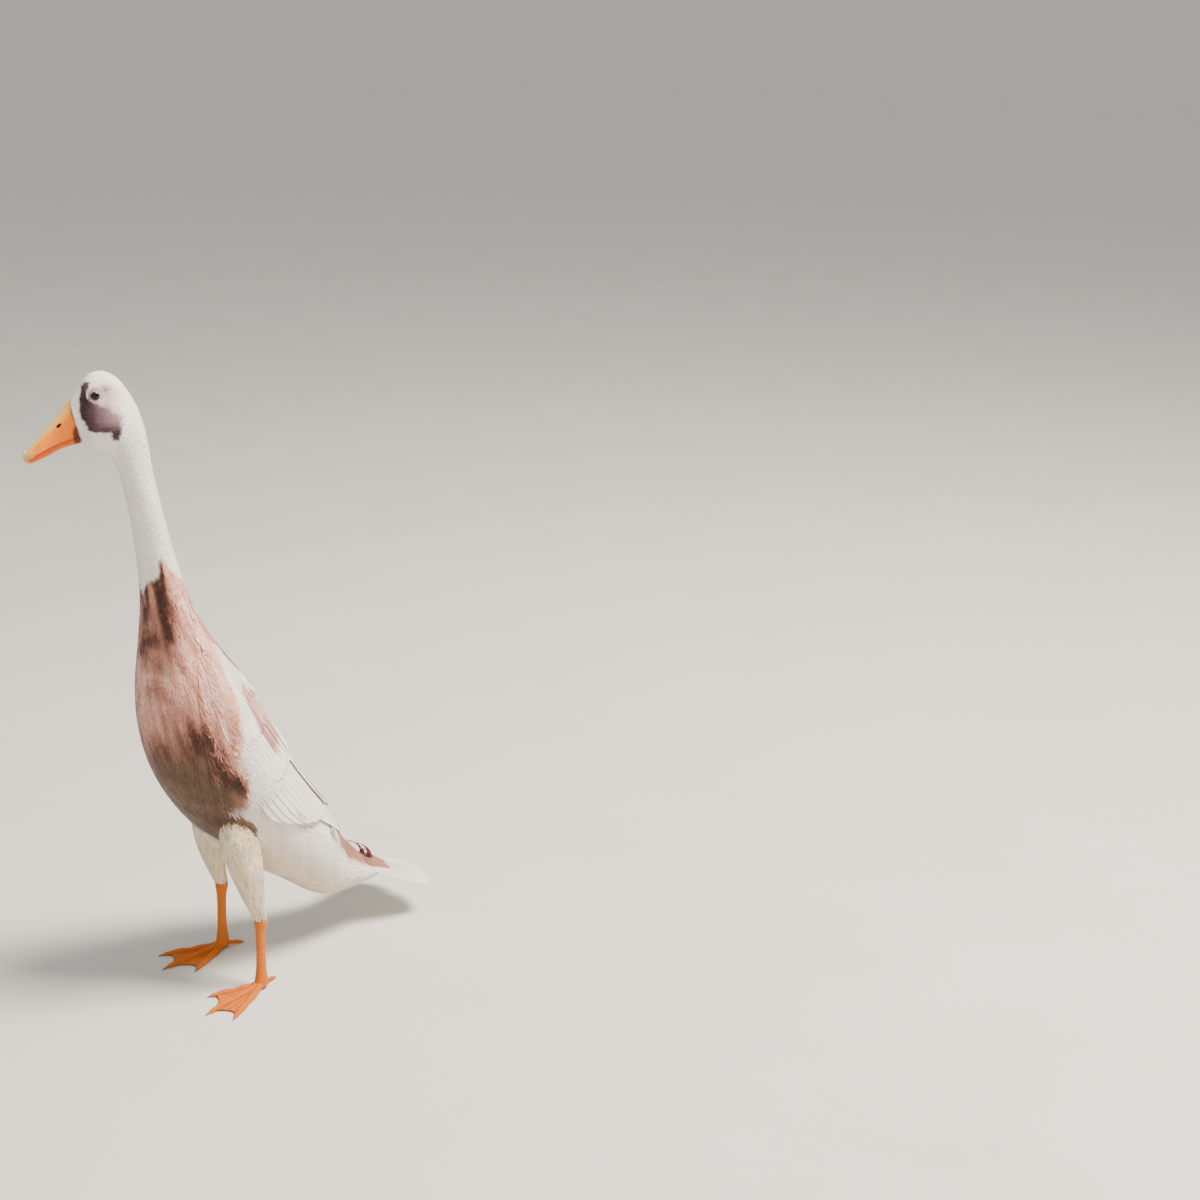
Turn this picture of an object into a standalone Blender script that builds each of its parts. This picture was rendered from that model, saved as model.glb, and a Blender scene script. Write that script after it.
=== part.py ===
"""Indian runner drake, fawn and white, life size, standing upright with its head turned to its right.

Units are metres with +Z up. The bird faces -Y and its left side is +X. The origin is on the ground
at the middle of the whole bird's box. Tables of sections are in centimetres and are scaled once.
"""

import math
from typing import NamedTuple

import bmesh
import bpy
import numpy as np
from mathutils import Vector

CM = 0.01
GAP = 0.0003  # between two pieces that touch
LEFT, RIGHT = 1, -1
SIDES = {"left": LEFT, "right": RIGHT}

# The neck twists about an upright line, so that the head looks past the bird's right shoulder.
HEAD_TURN = math.radians(-29)
TURN_AXIS_FORWARD = 6.3 * CM
TURN_STARTS, TURN_ENDS = 40.3 * CM, 47.9 * CM

BODY_SIDES, NECK_SIDES, HEAD_SIDES = 30, 20, 26


class Section(NamedTuple):
    """One slice of the bird, from its back line to its belly line, each (forward, height) in cm."""

    back: tuple
    belly: tuple
    half_width: float
    widest: float = 0.0  # where it is widest: -1 at the belly line, 1 at the back line


# Every slice from the end of the tail's fleshy root to the root of the bill.
SECTIONS = [
    Section((-14.9, 5.6), (-14.7, 5.0), 2.60),
    Section((-13.8, 6.7), (-13.0, 4.5), 2.95),
    Section((-12.5, 8.3), (-11.0, 4.15), 3.15),
    Section((-11.0, 10.2), (-8.5, 4.5), 3.5),
    Section((-10.0, 12.2), (-4.9, 7.3), 4.3),
    Section((-8.4, 14.7), (-1.3, 10.1), 4.9),
    Section((-6.65, 17.6), (1.75, 13.2), 5.25),
    Section((-4.8, 20.9), (4.5, 16.7), 5.35),
    Section((-3.1, 24.3), (6.45, 20.5), 5.25),
    Section((-1.3, 27.6), (7.4, 24.5), 4.85),
    Section((0.7, 30.8), (7.4, 28.3), 4.15),
    Section((2.05, 33.8), (6.95, 31.9), 3.25),
    Section((2.95, 36.6), (6.65, 35.3), 2.4),
    Section((3.65, 39.4), (6.65, 38.7), 1.85),
    Section((4.25, 42.2), (6.95, 41.9), 1.55),
    Section((4.75, 45.0), (7.35, 44.8), 1.42),
    Section((5.1, 47.4), (7.7, 47.0), 1.42),
    Section((5.25, 49.2), (8.05, 48.15), 1.48),
    Section((5.45, 50.7), (8.55, 48.8), 1.6),
    Section((5.8, 52.1), (9.0, 49.05), 1.72, -0.05),
    Section((6.4, 53.5), (9.35, 49.2), 1.78, -0.1),
    Section((7.25, 54.75), (9.65, 49.35), 1.76, -0.15),
    Section((8.35, 55.35), (9.9, 49.45), 1.66, -0.15),
    Section((9.45, 55.1), (10.1, 49.55), 1.46, -0.1),
    Section((10.3, 54.15), (10.25, 49.7), 1.28, -0.05),
    Section((11.03, 53.15), (10.38, 49.80), 1.16),
]
TAIL_END, TAIL_ROOT, NECK_ROOT, THROAT, BILL_ROOT = 0, 3, 13, 17, 25


def spline(rows, at):
    """A smooth curve through rows, at fractional row numbers."""
    rows, at = np.asarray(rows, float), np.asarray(at, float)
    rows = np.vstack([2 * rows[0] - rows[1], rows, 2 * rows[-1] - rows[-2]])
    start = np.clip(np.floor(at).astype(int), 0, len(rows) - 4)
    u = (at - start)[..., None]
    a, b, c, d = (rows[start + k] for k in range(4))
    return 0.5 * (2 * b + (c - a) * u + (2 * a - 5 * b + 4 * c - d) * u**2 + (3 * b - a - 3 * c + d) * u**3)


def to_world(forward, height, side):
    return np.stack([side, -forward, height], -1)


def turned(points):
    """Points of the neck and head after the neck's twist."""
    share = np.clip((points[..., 2] - TURN_STARTS) / (TURN_ENDS - TURN_STARTS), 0, 1)
    angle = HEAD_TURN * share * share * (3 - 2 * share)
    x, y = points[..., 0], points[..., 1] + TURN_AXIS_FORWARD
    return np.stack(
        [
            x * np.cos(angle) - y * np.sin(angle),
            x * np.sin(angle) + y * np.cos(angle) - TURN_AXIS_FORWARD,
            points[..., 2],
        ],
        -1,
    )


def unturned_skin(along, around):
    """The bird's outer surface before the twist. around is 0 on the back, and positive to the left."""
    rows = [[*s.back, *s.belly, s.half_width, s.widest] for s in SECTIONS]
    values = spline(rows, along)
    back, belly = values[..., 0:2], values[..., 2:4]
    width, widest = values[..., 4], values[..., 5]
    level = np.cos(around) + widest * np.sin(around) ** 2
    middle = (back + belly) / 2 + (back - belly) / 2 * level[..., None]
    return CM * to_world(middle[..., 0], middle[..., 1], width * np.sin(around))


def skin(along, around, out=0.0):
    """Points of the bird's surface, or out metres off it."""
    along, around = np.broadcast_arrays(np.asarray(along, float), np.asarray(around, float))
    step = 1e-3
    points = unturned_skin(along, around)
    if np.any(out):
        lengthwise = unturned_skin(along + step, around) - unturned_skin(along - step, around)
        sideways = unturned_skin(along, around + step) - unturned_skin(along, around - step)
        normal = np.cross(lengthwise, sideways)
        normal /= np.linalg.norm(normal, axis=-1, keepdims=True)
        points = points + normal * np.asarray(out)[..., None]
    return turned(points)


def material(name, colour, roughness):
    made = bpy.data.materials.new(name)
    made.use_nodes = True
    shader = made.node_tree.nodes["Principled BSDF"]
    shader.inputs["Base Color"].default_value = (*colour, 1)
    shader.inputs["Roughness"].default_value = roughness
    made.diffuse_color = (*colour, 1)
    return made


def mesh_object(name, points, faces, finish=None):
    mesh = bpy.data.meshes.new(name)
    mesh.from_pydata([tuple(p) for p in points], [], faces)
    work = bmesh.new()
    work.from_mesh(mesh)
    bmesh.ops.recalc_face_normals(work, faces=work.faces)
    work.to_mesh(mesh)
    work.free()
    made = bpy.data.objects.new(name, mesh)
    bpy.context.scene.collection.objects.link(made)
    if finish:
        mesh.materials.append(finish)
        mesh.shade_smooth()
    return made


def tube(name, rings, finish=None):
    """A closed solid through rings of points, flat at both ends."""
    rings = np.asarray(rings)
    count, sides = rings.shape[:2]
    faces = [tuple(range(sides)), tuple((count - 1) * sides + k for k in range(sides))]
    for row in range(count - 1):
        for k in range(sides):
            low, after = row * sides, (k + 1) % sides
            faces.append((low + k, low + after, low + sides + after, low + sides + k))
    return mesh_object(name, rings.reshape(-1, 3), faces, finish)


def apply_boolean(target, operation, solver, cutter=None, collection=None):
    joint = target.modifiers.new("join", "BOOLEAN")
    joint.operation = operation
    joint.solver = solver
    if collection:
        joint.operand_type = "COLLECTION"
        joint.collection = collection
    else:
        joint.object = cutter
    graph = bpy.context.evaluated_depsgraph_get()
    made = bpy.data.meshes.new_from_object(target.evaluated_get(graph))
    target.modifiers.clear()
    old, target.data = target.data, made
    made.name = target.name
    bpy.data.meshes.remove(old)


def cut(target, cutter, solver="MANIFOLD"):
    """Takes the cutter's shape out of target."""
    apply_boolean(target, "DIFFERENCE", solver, cutter=cutter)
    bpy.data.objects.remove(cutter)


def keep_largest(target):
    """Leaves only the largest closed surface of a solid."""
    work = bmesh.new()
    work.from_mesh(target.data)
    left, shells = set(work.faces), []
    while left:
        shell, edge = set(), [left.pop()]
        while edge:
            face = edge.pop()
            shell.add(face)
            near = {f for e in face.edges for f in e.link_faces} & left
            left -= near
            edge.extend(near)
        shells.append(shell)

    def volume(shell):
        total = 0.0
        for face in shell:
            corners = [v.co for v in face.verts]
            for b, c in zip(corners[1:], corners[2:]):
                total += corners[0].dot(b.cross(c))
        return abs(total)

    shells.sort(key=volume, reverse=True)
    bmesh.ops.delete(work, geom=[f for s in shells[1:] for f in s], context="FACES")
    work.to_mesh(target.data)
    work.free()


def fuse(name, pieces, finish, solver="MANIFOLD"):
    """One closed body made of overlapping pieces."""
    first, *others = pieces
    first.name = name
    if others:
        group = bpy.data.collections.new("joined to " + name)
        for piece in others:
            group.objects.link(piece)
        apply_boolean(first, "UNION", solver, collection=group)
        for piece in others:
            bpy.data.objects.remove(piece)
        bpy.data.collections.remove(group)
    keep_largest(first)
    first.data.materials.clear()
    first.data.materials.append(finish)
    first.data.shade_smooth()
    return first


# Torso, neck and head: lengths of one surface, parted by flat cuts.
def skin_rings(start, end, steps, sides, grow=0.0):
    """Rings of the surface from one slice to another, each end drawn back by half of the gap."""
    along = np.linspace(start, end, steps + 1)[:, None]
    around = (np.arange(sides) * 2 * math.pi / sides)[None, :]
    rings = skin(along, around, grow)
    for ring, inner in ((0, 1), (-1, -2)):
        facing = np.cross(rings[ring][sides // 4] - rings[ring][0], rings[ring][sides // 2] - rings[ring][0])
        facing /= np.linalg.norm(facing)
        inward = np.sign((rings[inner] - rings[ring]).mean(0) @ facing)
        rings[ring] += facing * inward * (GAP / 2 - grow)
    return rings


def build_torso(finish):
    return tube("torso", skin_rings(TAIL_ROOT, NECK_ROOT, 23, BODY_SIDES), finish)


def build_neck(finish):
    return tube("neck", skin_rings(NECK_ROOT, THROAT, 10, NECK_SIDES), finish)


# Eyes: balls sunk in sockets, each ringed by a lid that stands a little proud of the cheek.
EYE_AT = (9.03 * CM, 53.68 * CM)  # forward, height
EYE_SIDE = 1.12 * CM
EYE_RADIUS = 0.5 * CM
LID_RADIUS, LID_THICKNESS = 0.52 * CM, 0.1 * CM
LID_SIDE = 1.44 * CM


def turned_point(forward, height, side):
    return turned(to_world(np.array([forward]), np.array([height]), np.array([side])))[0]


def ball(name, centre, radius, segments, finish=None):
    made = bpy.data.meshes.new(name)
    work = bmesh.new()
    bmesh.ops.create_uvsphere(work, u_segments=segments, v_segments=segments // 2, radius=radius)
    bmesh.ops.translate(work, verts=work.verts, vec=Vector(centre))
    work.to_mesh(made)
    work.free()
    thing = bpy.data.objects.new(name, made)
    bpy.context.scene.collection.objects.link(thing)
    if finish:
        made.materials.append(finish)
        made.shade_smooth()
    return thing


def lid_ring(side):
    """An almond ring round the eye, longer fore and aft than it is high."""
    rings = []
    for turn in np.linspace(0, 2 * math.pi, 14, endpoint=False):
        ring = []
        for roll in np.linspace(0, 2 * math.pi, 6, endpoint=False):
            reach = LID_RADIUS + LID_THICKNESS * math.cos(roll)
            forward = EYE_AT[0] + 1.12 * reach * math.cos(turn)
            height = EYE_AT[1] + 0.96 * reach * math.sin(turn)
            lean = 0.12 * reach * math.cos(turn)  # the face narrows towards the bill
            ring.append(turned_point(forward, height, side * (LID_SIDE - lean + LID_THICKNESS * math.sin(roll))))
        rings.append(ring)
    count, sides = len(rings), len(rings[0])
    faces = []
    for row in range(count):
        for k in range(sides):
            low, high, after = row * sides, (row + 1) % count * sides, (k + 1) % sides
            faces.append((low + k, low + after, high + after, high + k))
    return mesh_object("lid", np.array(rings).reshape(-1, 3), faces)


def build_head(finish):
    skull = tube("head", skin_rings(THROAT, BILL_ROOT, 18, HEAD_SIDES))
    head = fuse("head", [skull, lid_ring(LEFT), lid_ring(RIGHT)], finish)
    for side in SIDES.values():
        cut(head, ball("socket", turned_point(*EYE_AT, side * EYE_SIDE), EYE_RADIUS + GAP, 14))
    keep_largest(head)
    return head


def build_eyes(finish):
    for word, side in SIDES.items():
        ball(f"eye_{word}", turned_point(*EYE_AT, side * EYE_SIDE), EYE_RADIUS, 14, finish)


# Bill: two horny blades that meet along the mouth, the upper one broad and rounded at the tip.
class BillSlice(NamedTuple):
    culmen: tuple  # top line, (forward, height) in cm
    mouth: tuple
    jaw: tuple  # bottom line
    half_width: float


BILL = [
    BillSlice((11.03, 53.15), (10.48, 50.50), (10.38, 49.80), 1.16),
    BillSlice((11.60, 52.50), (11.30, 50.22), (11.20, 49.62), 1.08),
    BillSlice((12.20, 51.80), (12.15, 49.95), (12.05, 49.36), 1.05),
    BillSlice((12.85, 51.10), (12.95, 49.62), (12.82, 48.98), 1.12),
    BillSlice((13.50, 50.42), (13.65, 49.30), (13.48, 48.70), 1.24),
    BillSlice((14.10, 49.82), (14.20, 48.98), (14.00, 48.50), 1.22),
    BillSlice((14.52, 49.40), (14.55, 48.78), (14.38, 48.42), 0.95),
    BillSlice((14.78, 49.08), (14.80, 48.66), (14.64, 48.42), 0.50),
]
LOWER_WIDTH = 0.86  # of the upper blade's width
NOSTRIL_AT = (11.95 * CM, 51.35 * CM)
NOSTRIL_SIDE = 0.92 * CM
NOSTRIL_LONG, NOSTRIL_HIGH, NOSTRIL_DEEP = 0.42 * CM, 0.16 * CM, 0.3 * CM


def bill_rings(lines, width_share, arch, steps=16):
    """Rings with a domed side towards the first line and a flat side along the second."""
    rows = [[*getattr(s, lines[0]), *getattr(s, lines[1]), s.half_width] for s in BILL]
    values = spline(rows, np.linspace(0, len(BILL) - 1, steps))
    dome = np.linspace(0, math.pi, 11)
    flat = np.linspace(-1, 1, 6)[1:-1]
    across = np.concatenate([np.cos(dome), flat])
    up = np.concatenate([np.sin(dome) ** arch, np.zeros(len(flat))])
    rings = []
    for *points, width in values:
        top, bottom = np.array(points[:2]), np.array(points[2:])
        line = bottom[None] + (top - bottom)[None] * up[:, None]
        rings.append(turned(CM * to_world(line[:, 0], line[:, 1], width * width_share * across)))
    return np.array(rings)


def step_off(rings, first_only=True):
    """Draws the first ring, at the head, back along the bill by the gap."""
    along = (rings[1] - rings[0]).mean(0)
    rings[0] += along / np.linalg.norm(along) * GAP
    return rings


def build_bill(finish):
    upper_rings = step_off(bill_rings(("culmen", "mouth"), 1.0, 0.8))
    upper = tube("bill_upper", upper_rings, finish)
    for side in SIDES.values():
        nostril = ball("nostril", (0, 0, 0), 1.0, 12)
        slope = math.radians(-40)
        for vertex in nostril.data.vertices:
            long, deep, high = vertex.co.x * NOSTRIL_LONG, vertex.co.y * NOSTRIL_DEEP, vertex.co.z * NOSTRIL_HIGH
            forward = NOSTRIL_AT[0] + long * math.cos(slope) - high * math.sin(slope)
            height = NOSTRIL_AT[1] + long * math.sin(slope) + high * math.cos(slope)
            vertex.co = Vector(turned_point(forward, height, side * (NOSTRIL_SIDE + deep)))
        fix_normals(nostril)
        cut(upper, nostril)
    keep_largest(upper)
    lower_rings = step_off(bill_rings(("jaw", "mouth"), LOWER_WIDTH, 0.7))
    down = lower_rings[:, 3] - lower_rings[:, -2]
    down = down.mean(0) / np.linalg.norm(down.mean(0))
    tube("bill_lower", lower_rings + down * GAP, finish)


def fix_normals(target):
    work = bmesh.new()
    work.from_mesh(target.data)
    bmesh.ops.recalc_face_normals(work, faces=work.faces)
    work.to_mesh(target.data)
    work.free()


# Legs: a feathered thigh, a scaly shank and a webbed foot flat on the ground.
STEP = {LEFT: 0.9, RIGHT: -0.85}  # how far forward each foot stands, in cm
THIGH = [  # forward, height, side, half length fore and aft, half width, in cm
    (0.1, 17.6, 3.0, 1.5, 1.1),
    (0.5, 14.8, 3.5, 1.8, 1.5),
    (0.4, 12.2, 3.9, 1.55, 1.5),
    (0.12, 9.9, 4.15, 1.15, 1.2),
    (-0.25, 8.0, 4.25, 0.8, 0.82),
    (-0.58, 6.75, 4.25, 0.62, 0.56),
]
SHANK = [
    (-0.58, 6.75, 4.25, 0.60, 0.50),
    (-0.60, 6.2, 4.25, 0.60, 0.50),
    (-0.52, 5.4, 4.25, 0.47, 0.38),
    (-0.42, 3.8, 4.25, 0.42, 0.34),
    (-0.34, 2.1, 4.25, 0.46, 0.38),
    (-0.30, 1.25, 4.25, 0.55, 0.46),
]


def leg_rings(rows, side, steps, sides):
    values = (spline(rows, np.linspace(0, len(rows) - 1, steps)) + [STEP[side], 0, 0, 0, 0]) * CM
    around = np.arange(sides) * 2 * math.pi / sides
    rings = []
    for row, (forward, height, across, half_length, half_width) in enumerate(values):
        before, after = values[max(row - 1, 0)], values[min(row + 1, steps - 1)]
        fall = after[:2] - before[:2]
        fall /= np.linalg.norm(fall)
        if row in (0, steps - 1):
            fall = np.array([0.0, -1.0])
        lengthwise = np.cos(around) * half_length
        rings.append(
            to_world(
                forward - lengthwise * fall[1],
                height + lengthwise * fall[0],
                side * (across + np.sin(around) * half_width),
            )
        )
    return np.array(rings)


TOES = {  # angle outwards in degrees, length and half thickness at the root, in cm
    "middle": (4, 6.3, 0.36),
    "outer": (29, 5.9, 0.34),
    "inner": (-24, 4.9, 0.33),
    "hind": (196, 2.0, 0.22),
}
FOOT_AT = (-0.30 * CM, 4.25 * CM)  # forward, side
WEB_THICKNESS = 0.16 * CM
TOE_STEPS = 9
WEB_REACH = 0.86  # of the toes' length, before the claws


def toe_points(name, leg):
    """The line of a toe on the ground as (forward, side) steps and its thickness there."""
    angle, length, thick = TOES[name]
    bend = math.radians(angle)
    share = np.linspace(0, 1, TOE_STEPS)
    forward = FOOT_AT[0] + STEP[leg] * CM + share * length * CM * math.cos(bend)
    side = FOOT_AT[1] + share * length * CM * math.sin(bend)
    knuckles = 1 + 0.14 * np.cos(share * 6 * math.pi) * (share < 0.85)
    claw = np.where(share > 0.84, 0.46 * (1.02 - share) / 0.18, 1.0)
    half = thick * CM * (1 - 0.35 * share) * knuckles * claw
    return forward, side, half


def toe(name, leg):
    forward, side, half = toe_points(name, leg)
    around = np.arange(8) * 2 * math.pi / 8 + math.pi / 8
    along = np.array([forward[-1] - forward[0], side[-1] - side[0]])
    along /= np.linalg.norm(along)
    lift = 0.35 * CM if name == "hind" else 0.0
    rings = []
    for step, (f, s, h) in enumerate(zip(forward, side, half)):
        share = step / (len(forward) - 1)
        arch = 0.38 * CM * max(0.0, 1 - share / 0.3) ** 1.5
        centre = h * 0.72 + arch + lift * (1 - share)
        height = np.maximum(centre + h * np.sin(around), 0.0)
        across = h * np.cos(around)
        rings.append(to_world(f - across * along[1], height, leg * (s + across * along[0])))
    return tube("toe", np.array(rings))


def web(first, second, leg):
    """A thin skin between two toes, scalloped at its front edge."""
    lines = []
    for name in (first, second):
        forward, side, _ = toe_points(name, leg)
        lines.append(np.stack([forward, side], -1))
    shares = np.linspace(0, 1, 6)
    top, steps = [], np.linspace(0.06, WEB_REACH, 6)
    for step in steps:
        near, far = (line[0] + (line[-1] - line[0]) * step for line in lines)
        row = near + (far - near) * shares[:, None]
        scallop = 0.55 * CM * np.sin(math.pi * shares) * (step / WEB_REACH) ** 3
        row[:, 0] -= scallop
        top.append(row)
    rings = []
    for step, row in zip(steps, top):
        rise = 0.10 * CM + 0.35 * CM * (1 - step) ** 4
        upper = to_world(row[:, 0], np.full(len(row), rise + WEB_THICKNESS), leg * row[:, 1])
        lower = to_world(row[::-1, 0], np.full(len(row), rise), leg * row[::-1, 1])
        rings.append(np.vstack([upper, lower]))
    return tube("web", np.array(rings))


def ankle(leg):
    rows = [
        (-0.30, 1.25, 4.25, 0.55, 0.46),
        (-0.25, 0.85, 4.25, 0.62, 0.50),
        (-0.15, 0.30, 4.25, 0.66, 0.52),
    ]
    rings = leg_rings(rows, leg, 4, 12)
    rings[0][:, 2] -= GAP
    return tube("ankle", rings)


def build_legs(feathers, horn, torso_cutter):
    for word, side in SIDES.items():
        thigh = tube(f"thigh_{word}", leg_rings(THIGH, side, 12, 16), feathers)
        cut(thigh, torso_cutter())
        keep_largest(thigh)
        shank_rings = leg_rings(SHANK, side, 10, 12)
        shank_rings[0][:, 2] -= GAP
        tube(f"shank_{word}", shank_rings, horn)
        pieces = [ankle(side)]
        pieces += [toe(name, side) for name in TOES]
        pieces += [web("inner", "middle", side), web("middle", "outer", side)]
        fuse(f"foot_{word}", pieces, horn)


# Feathers: each long feather is a thin plate with a thicker shaft line, rooted in the wing or the tail.
FEATHER_STATIONS = (0.0, 0.3, 0.58, 0.8, 0.93, 1.0)
FEATHER_WIDTHS = (0.55, 0.9, 1.0, 0.88, 0.55, 0.14)  # shares of the full width at those stations
SHAFT_THICK, EDGE_THICK = 0.06, 0.045  # cm
LAYER = 0.09  # cm from one feather's face to that of the feather it lies on


def plate(top, under):
    """A thin closed plate from two like grids of points, with both faces split into triangles alike."""
    rows, across = top.shape[:2]
    faces = []

    def corner(face, row, place):
        return (face * rows + row) * across + place

    for row in range(rows - 1):
        for place in range(across - 1):
            for face in (0, 1):
                a, b = corner(face, row, place), corner(face, row, place + 1)
                c, d = corner(face, row + 1, place + 1), corner(face, row + 1, place)
                faces += [(a, b, c), (a, c, d)]
        for place in (0, across - 1):
            faces.append((corner(0, row, place), corner(0, row + 1, place),
                          corner(1, row + 1, place), corner(1, row, place)))
    for row in (0, rows - 1):
        ends = [corner(0, row, p) for p in range(across)] + [corner(1, row, p) for p in reversed(range(across))]
        faces.append(tuple(ends))
    return mesh_object("plate", np.concatenate([top.reshape(-1, 3), under.reshape(-1, 3)]), faces)


class Row(NamedTuple):
    """A row of feathers on the flank, from the one nearest the back line to the one nearest the belly.

    Places are (slice along the body, degrees from the back line) and the rest is in cm. The lean
    raises the edge nearer the belly, and the drop lowers each feather's tip under the one before it.
    """

    count: int
    roots: list
    tips: list
    tip_height: float
    half_width: float
    lean: float
    drop: float = 0.0


WING_ROWS = [
    Row(5, [(6.6, 30), (6.3, 48), (6.2, 66)], [(3.85, 15), (3.3, 16), (2.85, 18)], 0.36, 0.62, 0.02, 0.075),
    Row(6, [(8.1, 50), (7.9, 70), (7.6, 90)], [(4.95, 42), (5.3, 66), (6.1, 93)], 0.38, 0.85, 0.09),
    Row(3, [(8.3, 22), (8.2, 33), (8.1, 44)], [(4.3, 12), (4.7, 22), (5.2, 33)], 0.46, 0.92, 0.11),
    Row(5, [(9.3, 51), (9.2, 69), (9.0, 87)], [(7.0, 48), (7.0, 70), (7.3, 92)], 0.52, 0.95, 0.10),
]
WING_CORE = [  # slice along the body, upper and lower edge in degrees from the back line, thickness in cm
    (10.75, 50, 66, 0.12),
    (10.35, 36, 80, 0.36),
    (9.6, 27, 88, 0.44),
    (8.8, 21, 92, 0.42),
    (8.0, 16, 97, 0.34),
    (7.2, 14, 99, 0.26),
    (6.4, 13, 97, 0.17),
    (5.7, 13, 90, 0.11),
    (5.1, 15, 70, 0.07),
]
WING_OFF = 0.0009  # from the torso's surface to the inner face of a wing
ROOT_DEPTH = 0.12  # cm from the wing's surface down to a feather's root


def core_profile(share):
    """How the wing's thickness runs from its upper edge to its lower edge."""
    return 0.4 + 0.6 * np.clip(np.sin(math.pi * share), 0, 1) ** 0.45


def core_height(place):
    rows = np.array(WING_CORE)[::-1]
    top, bottom, thick = (np.interp(place[0], rows[:, 0], rows[:, k]) for k in (1, 2, 3))
    return thick * core_profile((place[1] - top) / (bottom - top))


def flank_feather(row, number, side):
    share = number / (row.count - 1)
    root = spline(row.roots, share * (len(row.roots) - 1))
    tip = spline(row.tips, share * (len(row.tips) - 1))
    along = np.array(FEATHER_STATIONS)
    line = root + (tip - root) * along[:, None]
    at, angle = line[:, 0], np.radians(line[:, 1])
    nudge = 1e-3
    per_slice = np.linalg.norm(skin(at + nudge, angle) - skin(at - nudge, angle), axis=-1) / (2 * nudge * CM)
    per_turn = np.linalg.norm(skin(at, angle + nudge) - skin(at, angle - nudge), axis=-1) / (2 * nudge * CM)
    run = (tip - root) * [1, math.pi / 180]
    run = np.stack([run[0] * per_slice, run[1] * per_turn], -1)
    run /= np.linalg.norm(run, axis=-1, keepdims=True)
    across = np.array([-1.0, 0.0, 1.0])
    reach = row.half_width * np.array(FEATHER_WIDTHS)[:, None] * across
    at = at[:, None] + run[:, 1:] * reach / per_slice[:, None]
    angle = angle[:, None] - run[:, :1] * reach / per_turn[:, None]
    start = core_height(root) - ROOT_DEPTH
    end = row.tip_height - row.drop * number
    height = (start + (end - start) * along**0.8)[:, None] + row.lean * reach
    thick = np.where(across == 0, SHAFT_THICK, EDGE_THICK) * np.where(along == 1, 0.6, 1)[:, None]
    top = skin(at, angle * side, CM * height + WING_OFF)
    under = skin(at, angle * side, CM * (height - thick) + WING_OFF)
    return plate(top, under)


def build_wings(finish):
    for word, side in SIDES.items():
        values = spline(WING_CORE, np.linspace(0, len(WING_CORE) - 1, 13))
        rings = []
        for along, top, bottom, thick in values:
            share = np.linspace(0, 1, 9)
            around = np.radians(top + (bottom - top) * share) * side
            outer = skin(along, around, WING_OFF + CM * thick * core_profile(share))
            inner = skin(along, around[::-1], np.full(9, WING_OFF))
            rings.append(np.vstack([outer, inner]))
        pieces = [tube("core", np.array(rings))]
        pieces += [flank_feather(row, number, side) for row in WING_ROWS for number in range(row.count)]
        fuse(f"wing_{word}", pieces, finish)


# Tail: a fan of stiff feathers from a fleshy root, with a drake's curled feathers on top.
TAIL_SLOPE = math.radians(-25)
TAIL_FROM = (-11.9, 6.9)  # forward and height of the middle feathers' roots, in cm
TAIL_COUNT = 12
TAIL_LENGTH = 9.2
TAIL_SPREAD = math.radians(17)


def tail_point(back, across, rise):
    """A point of the tail's fan: how far back along it, how far to the left, and how far above it."""
    forward = TAIL_FROM[0] - back * math.cos(TAIL_SLOPE) - rise * math.sin(TAIL_SLOPE)
    height = TAIL_FROM[1] + back * math.sin(TAIL_SLOPE) + rise * math.cos(TAIL_SLOPE)
    return CM * to_world(*np.broadcast_arrays(forward, height, across))


def tail_feather(number):
    side = LEFT if number % 2 == 0 else RIGHT
    place = number // 2  # 0 is the middle pair, which lies on top
    outward = (place + 0.45) / (TAIL_COUNT / 2 - 0.5)
    along = np.array(FEATHER_STATIONS)
    length = TAIL_LENGTH * (1 - 0.16 * outward**2)
    angle = TAIL_SPREAD * outward
    across = np.array([-1.0, 0.0, 1.0])
    reach = 0.95 * np.array(FEATHER_WIDTHS)[:, None] * across
    back = along[:, None] * length * math.cos(angle) - reach * math.sin(angle)
    aside = 0.25 + 1.55 * outward + along[:, None] * length * math.sin(angle) + reach * math.cos(angle)
    lift = 0.45 - 0.055 * (2 * place + (side == RIGHT)) - 0.035 * aside * np.abs(aside)
    thick = np.where(across == 0, SHAFT_THICK, EDGE_THICK) * np.where(along == 1, 0.6, 1)[:, None]
    top = tail_point(back, side * aside, lift)
    under = tail_point(back, side * aside, lift - thick)
    return plate(top, under)


CURLS = [(0.0, 0.95), (0.95, 0.8), (-0.95, 0.85)]  # how far to the left, and the curl's radius, in cm


def curled_feather(aside, radius):
    """A narrow feather that leaves the tail's root and rolls up and forward."""
    steps = np.linspace(0, 1, 12)
    roll = math.radians(250)
    bend = np.clip((steps - 0.35) / 0.65, 0, 1) * roll
    heading = math.radians(-30) + bend
    pace = np.where(steps < 0.35, 3.2, radius * roll / 0.65) / 11
    back = 1.2 + np.concatenate([[0], np.cumsum(np.cos(heading[:-1]) * pace[:-1])])
    rise = 1.6 + np.concatenate([[0], np.cumsum(np.sin(heading[:-1]) * pace[:-1])])
    width = 0.4 * np.interp(steps, [0, 0.5, 1], [1, 1, 0.35])[:, None] * np.array([-1.0, 1.0])
    normal_back, normal_rise = -np.sin(heading)[:, None] * 0.03, np.cos(heading)[:, None] * 0.03
    lean = aside * (1 + 0.3 * steps[:, None]) + width
    top = tail_point(back[:, None] + normal_back, lean, rise[:, None] + normal_rise)
    under = tail_point(back[:, None] - normal_back, lean, rise[:, None] - normal_rise)
    return plate(top, under)


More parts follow.
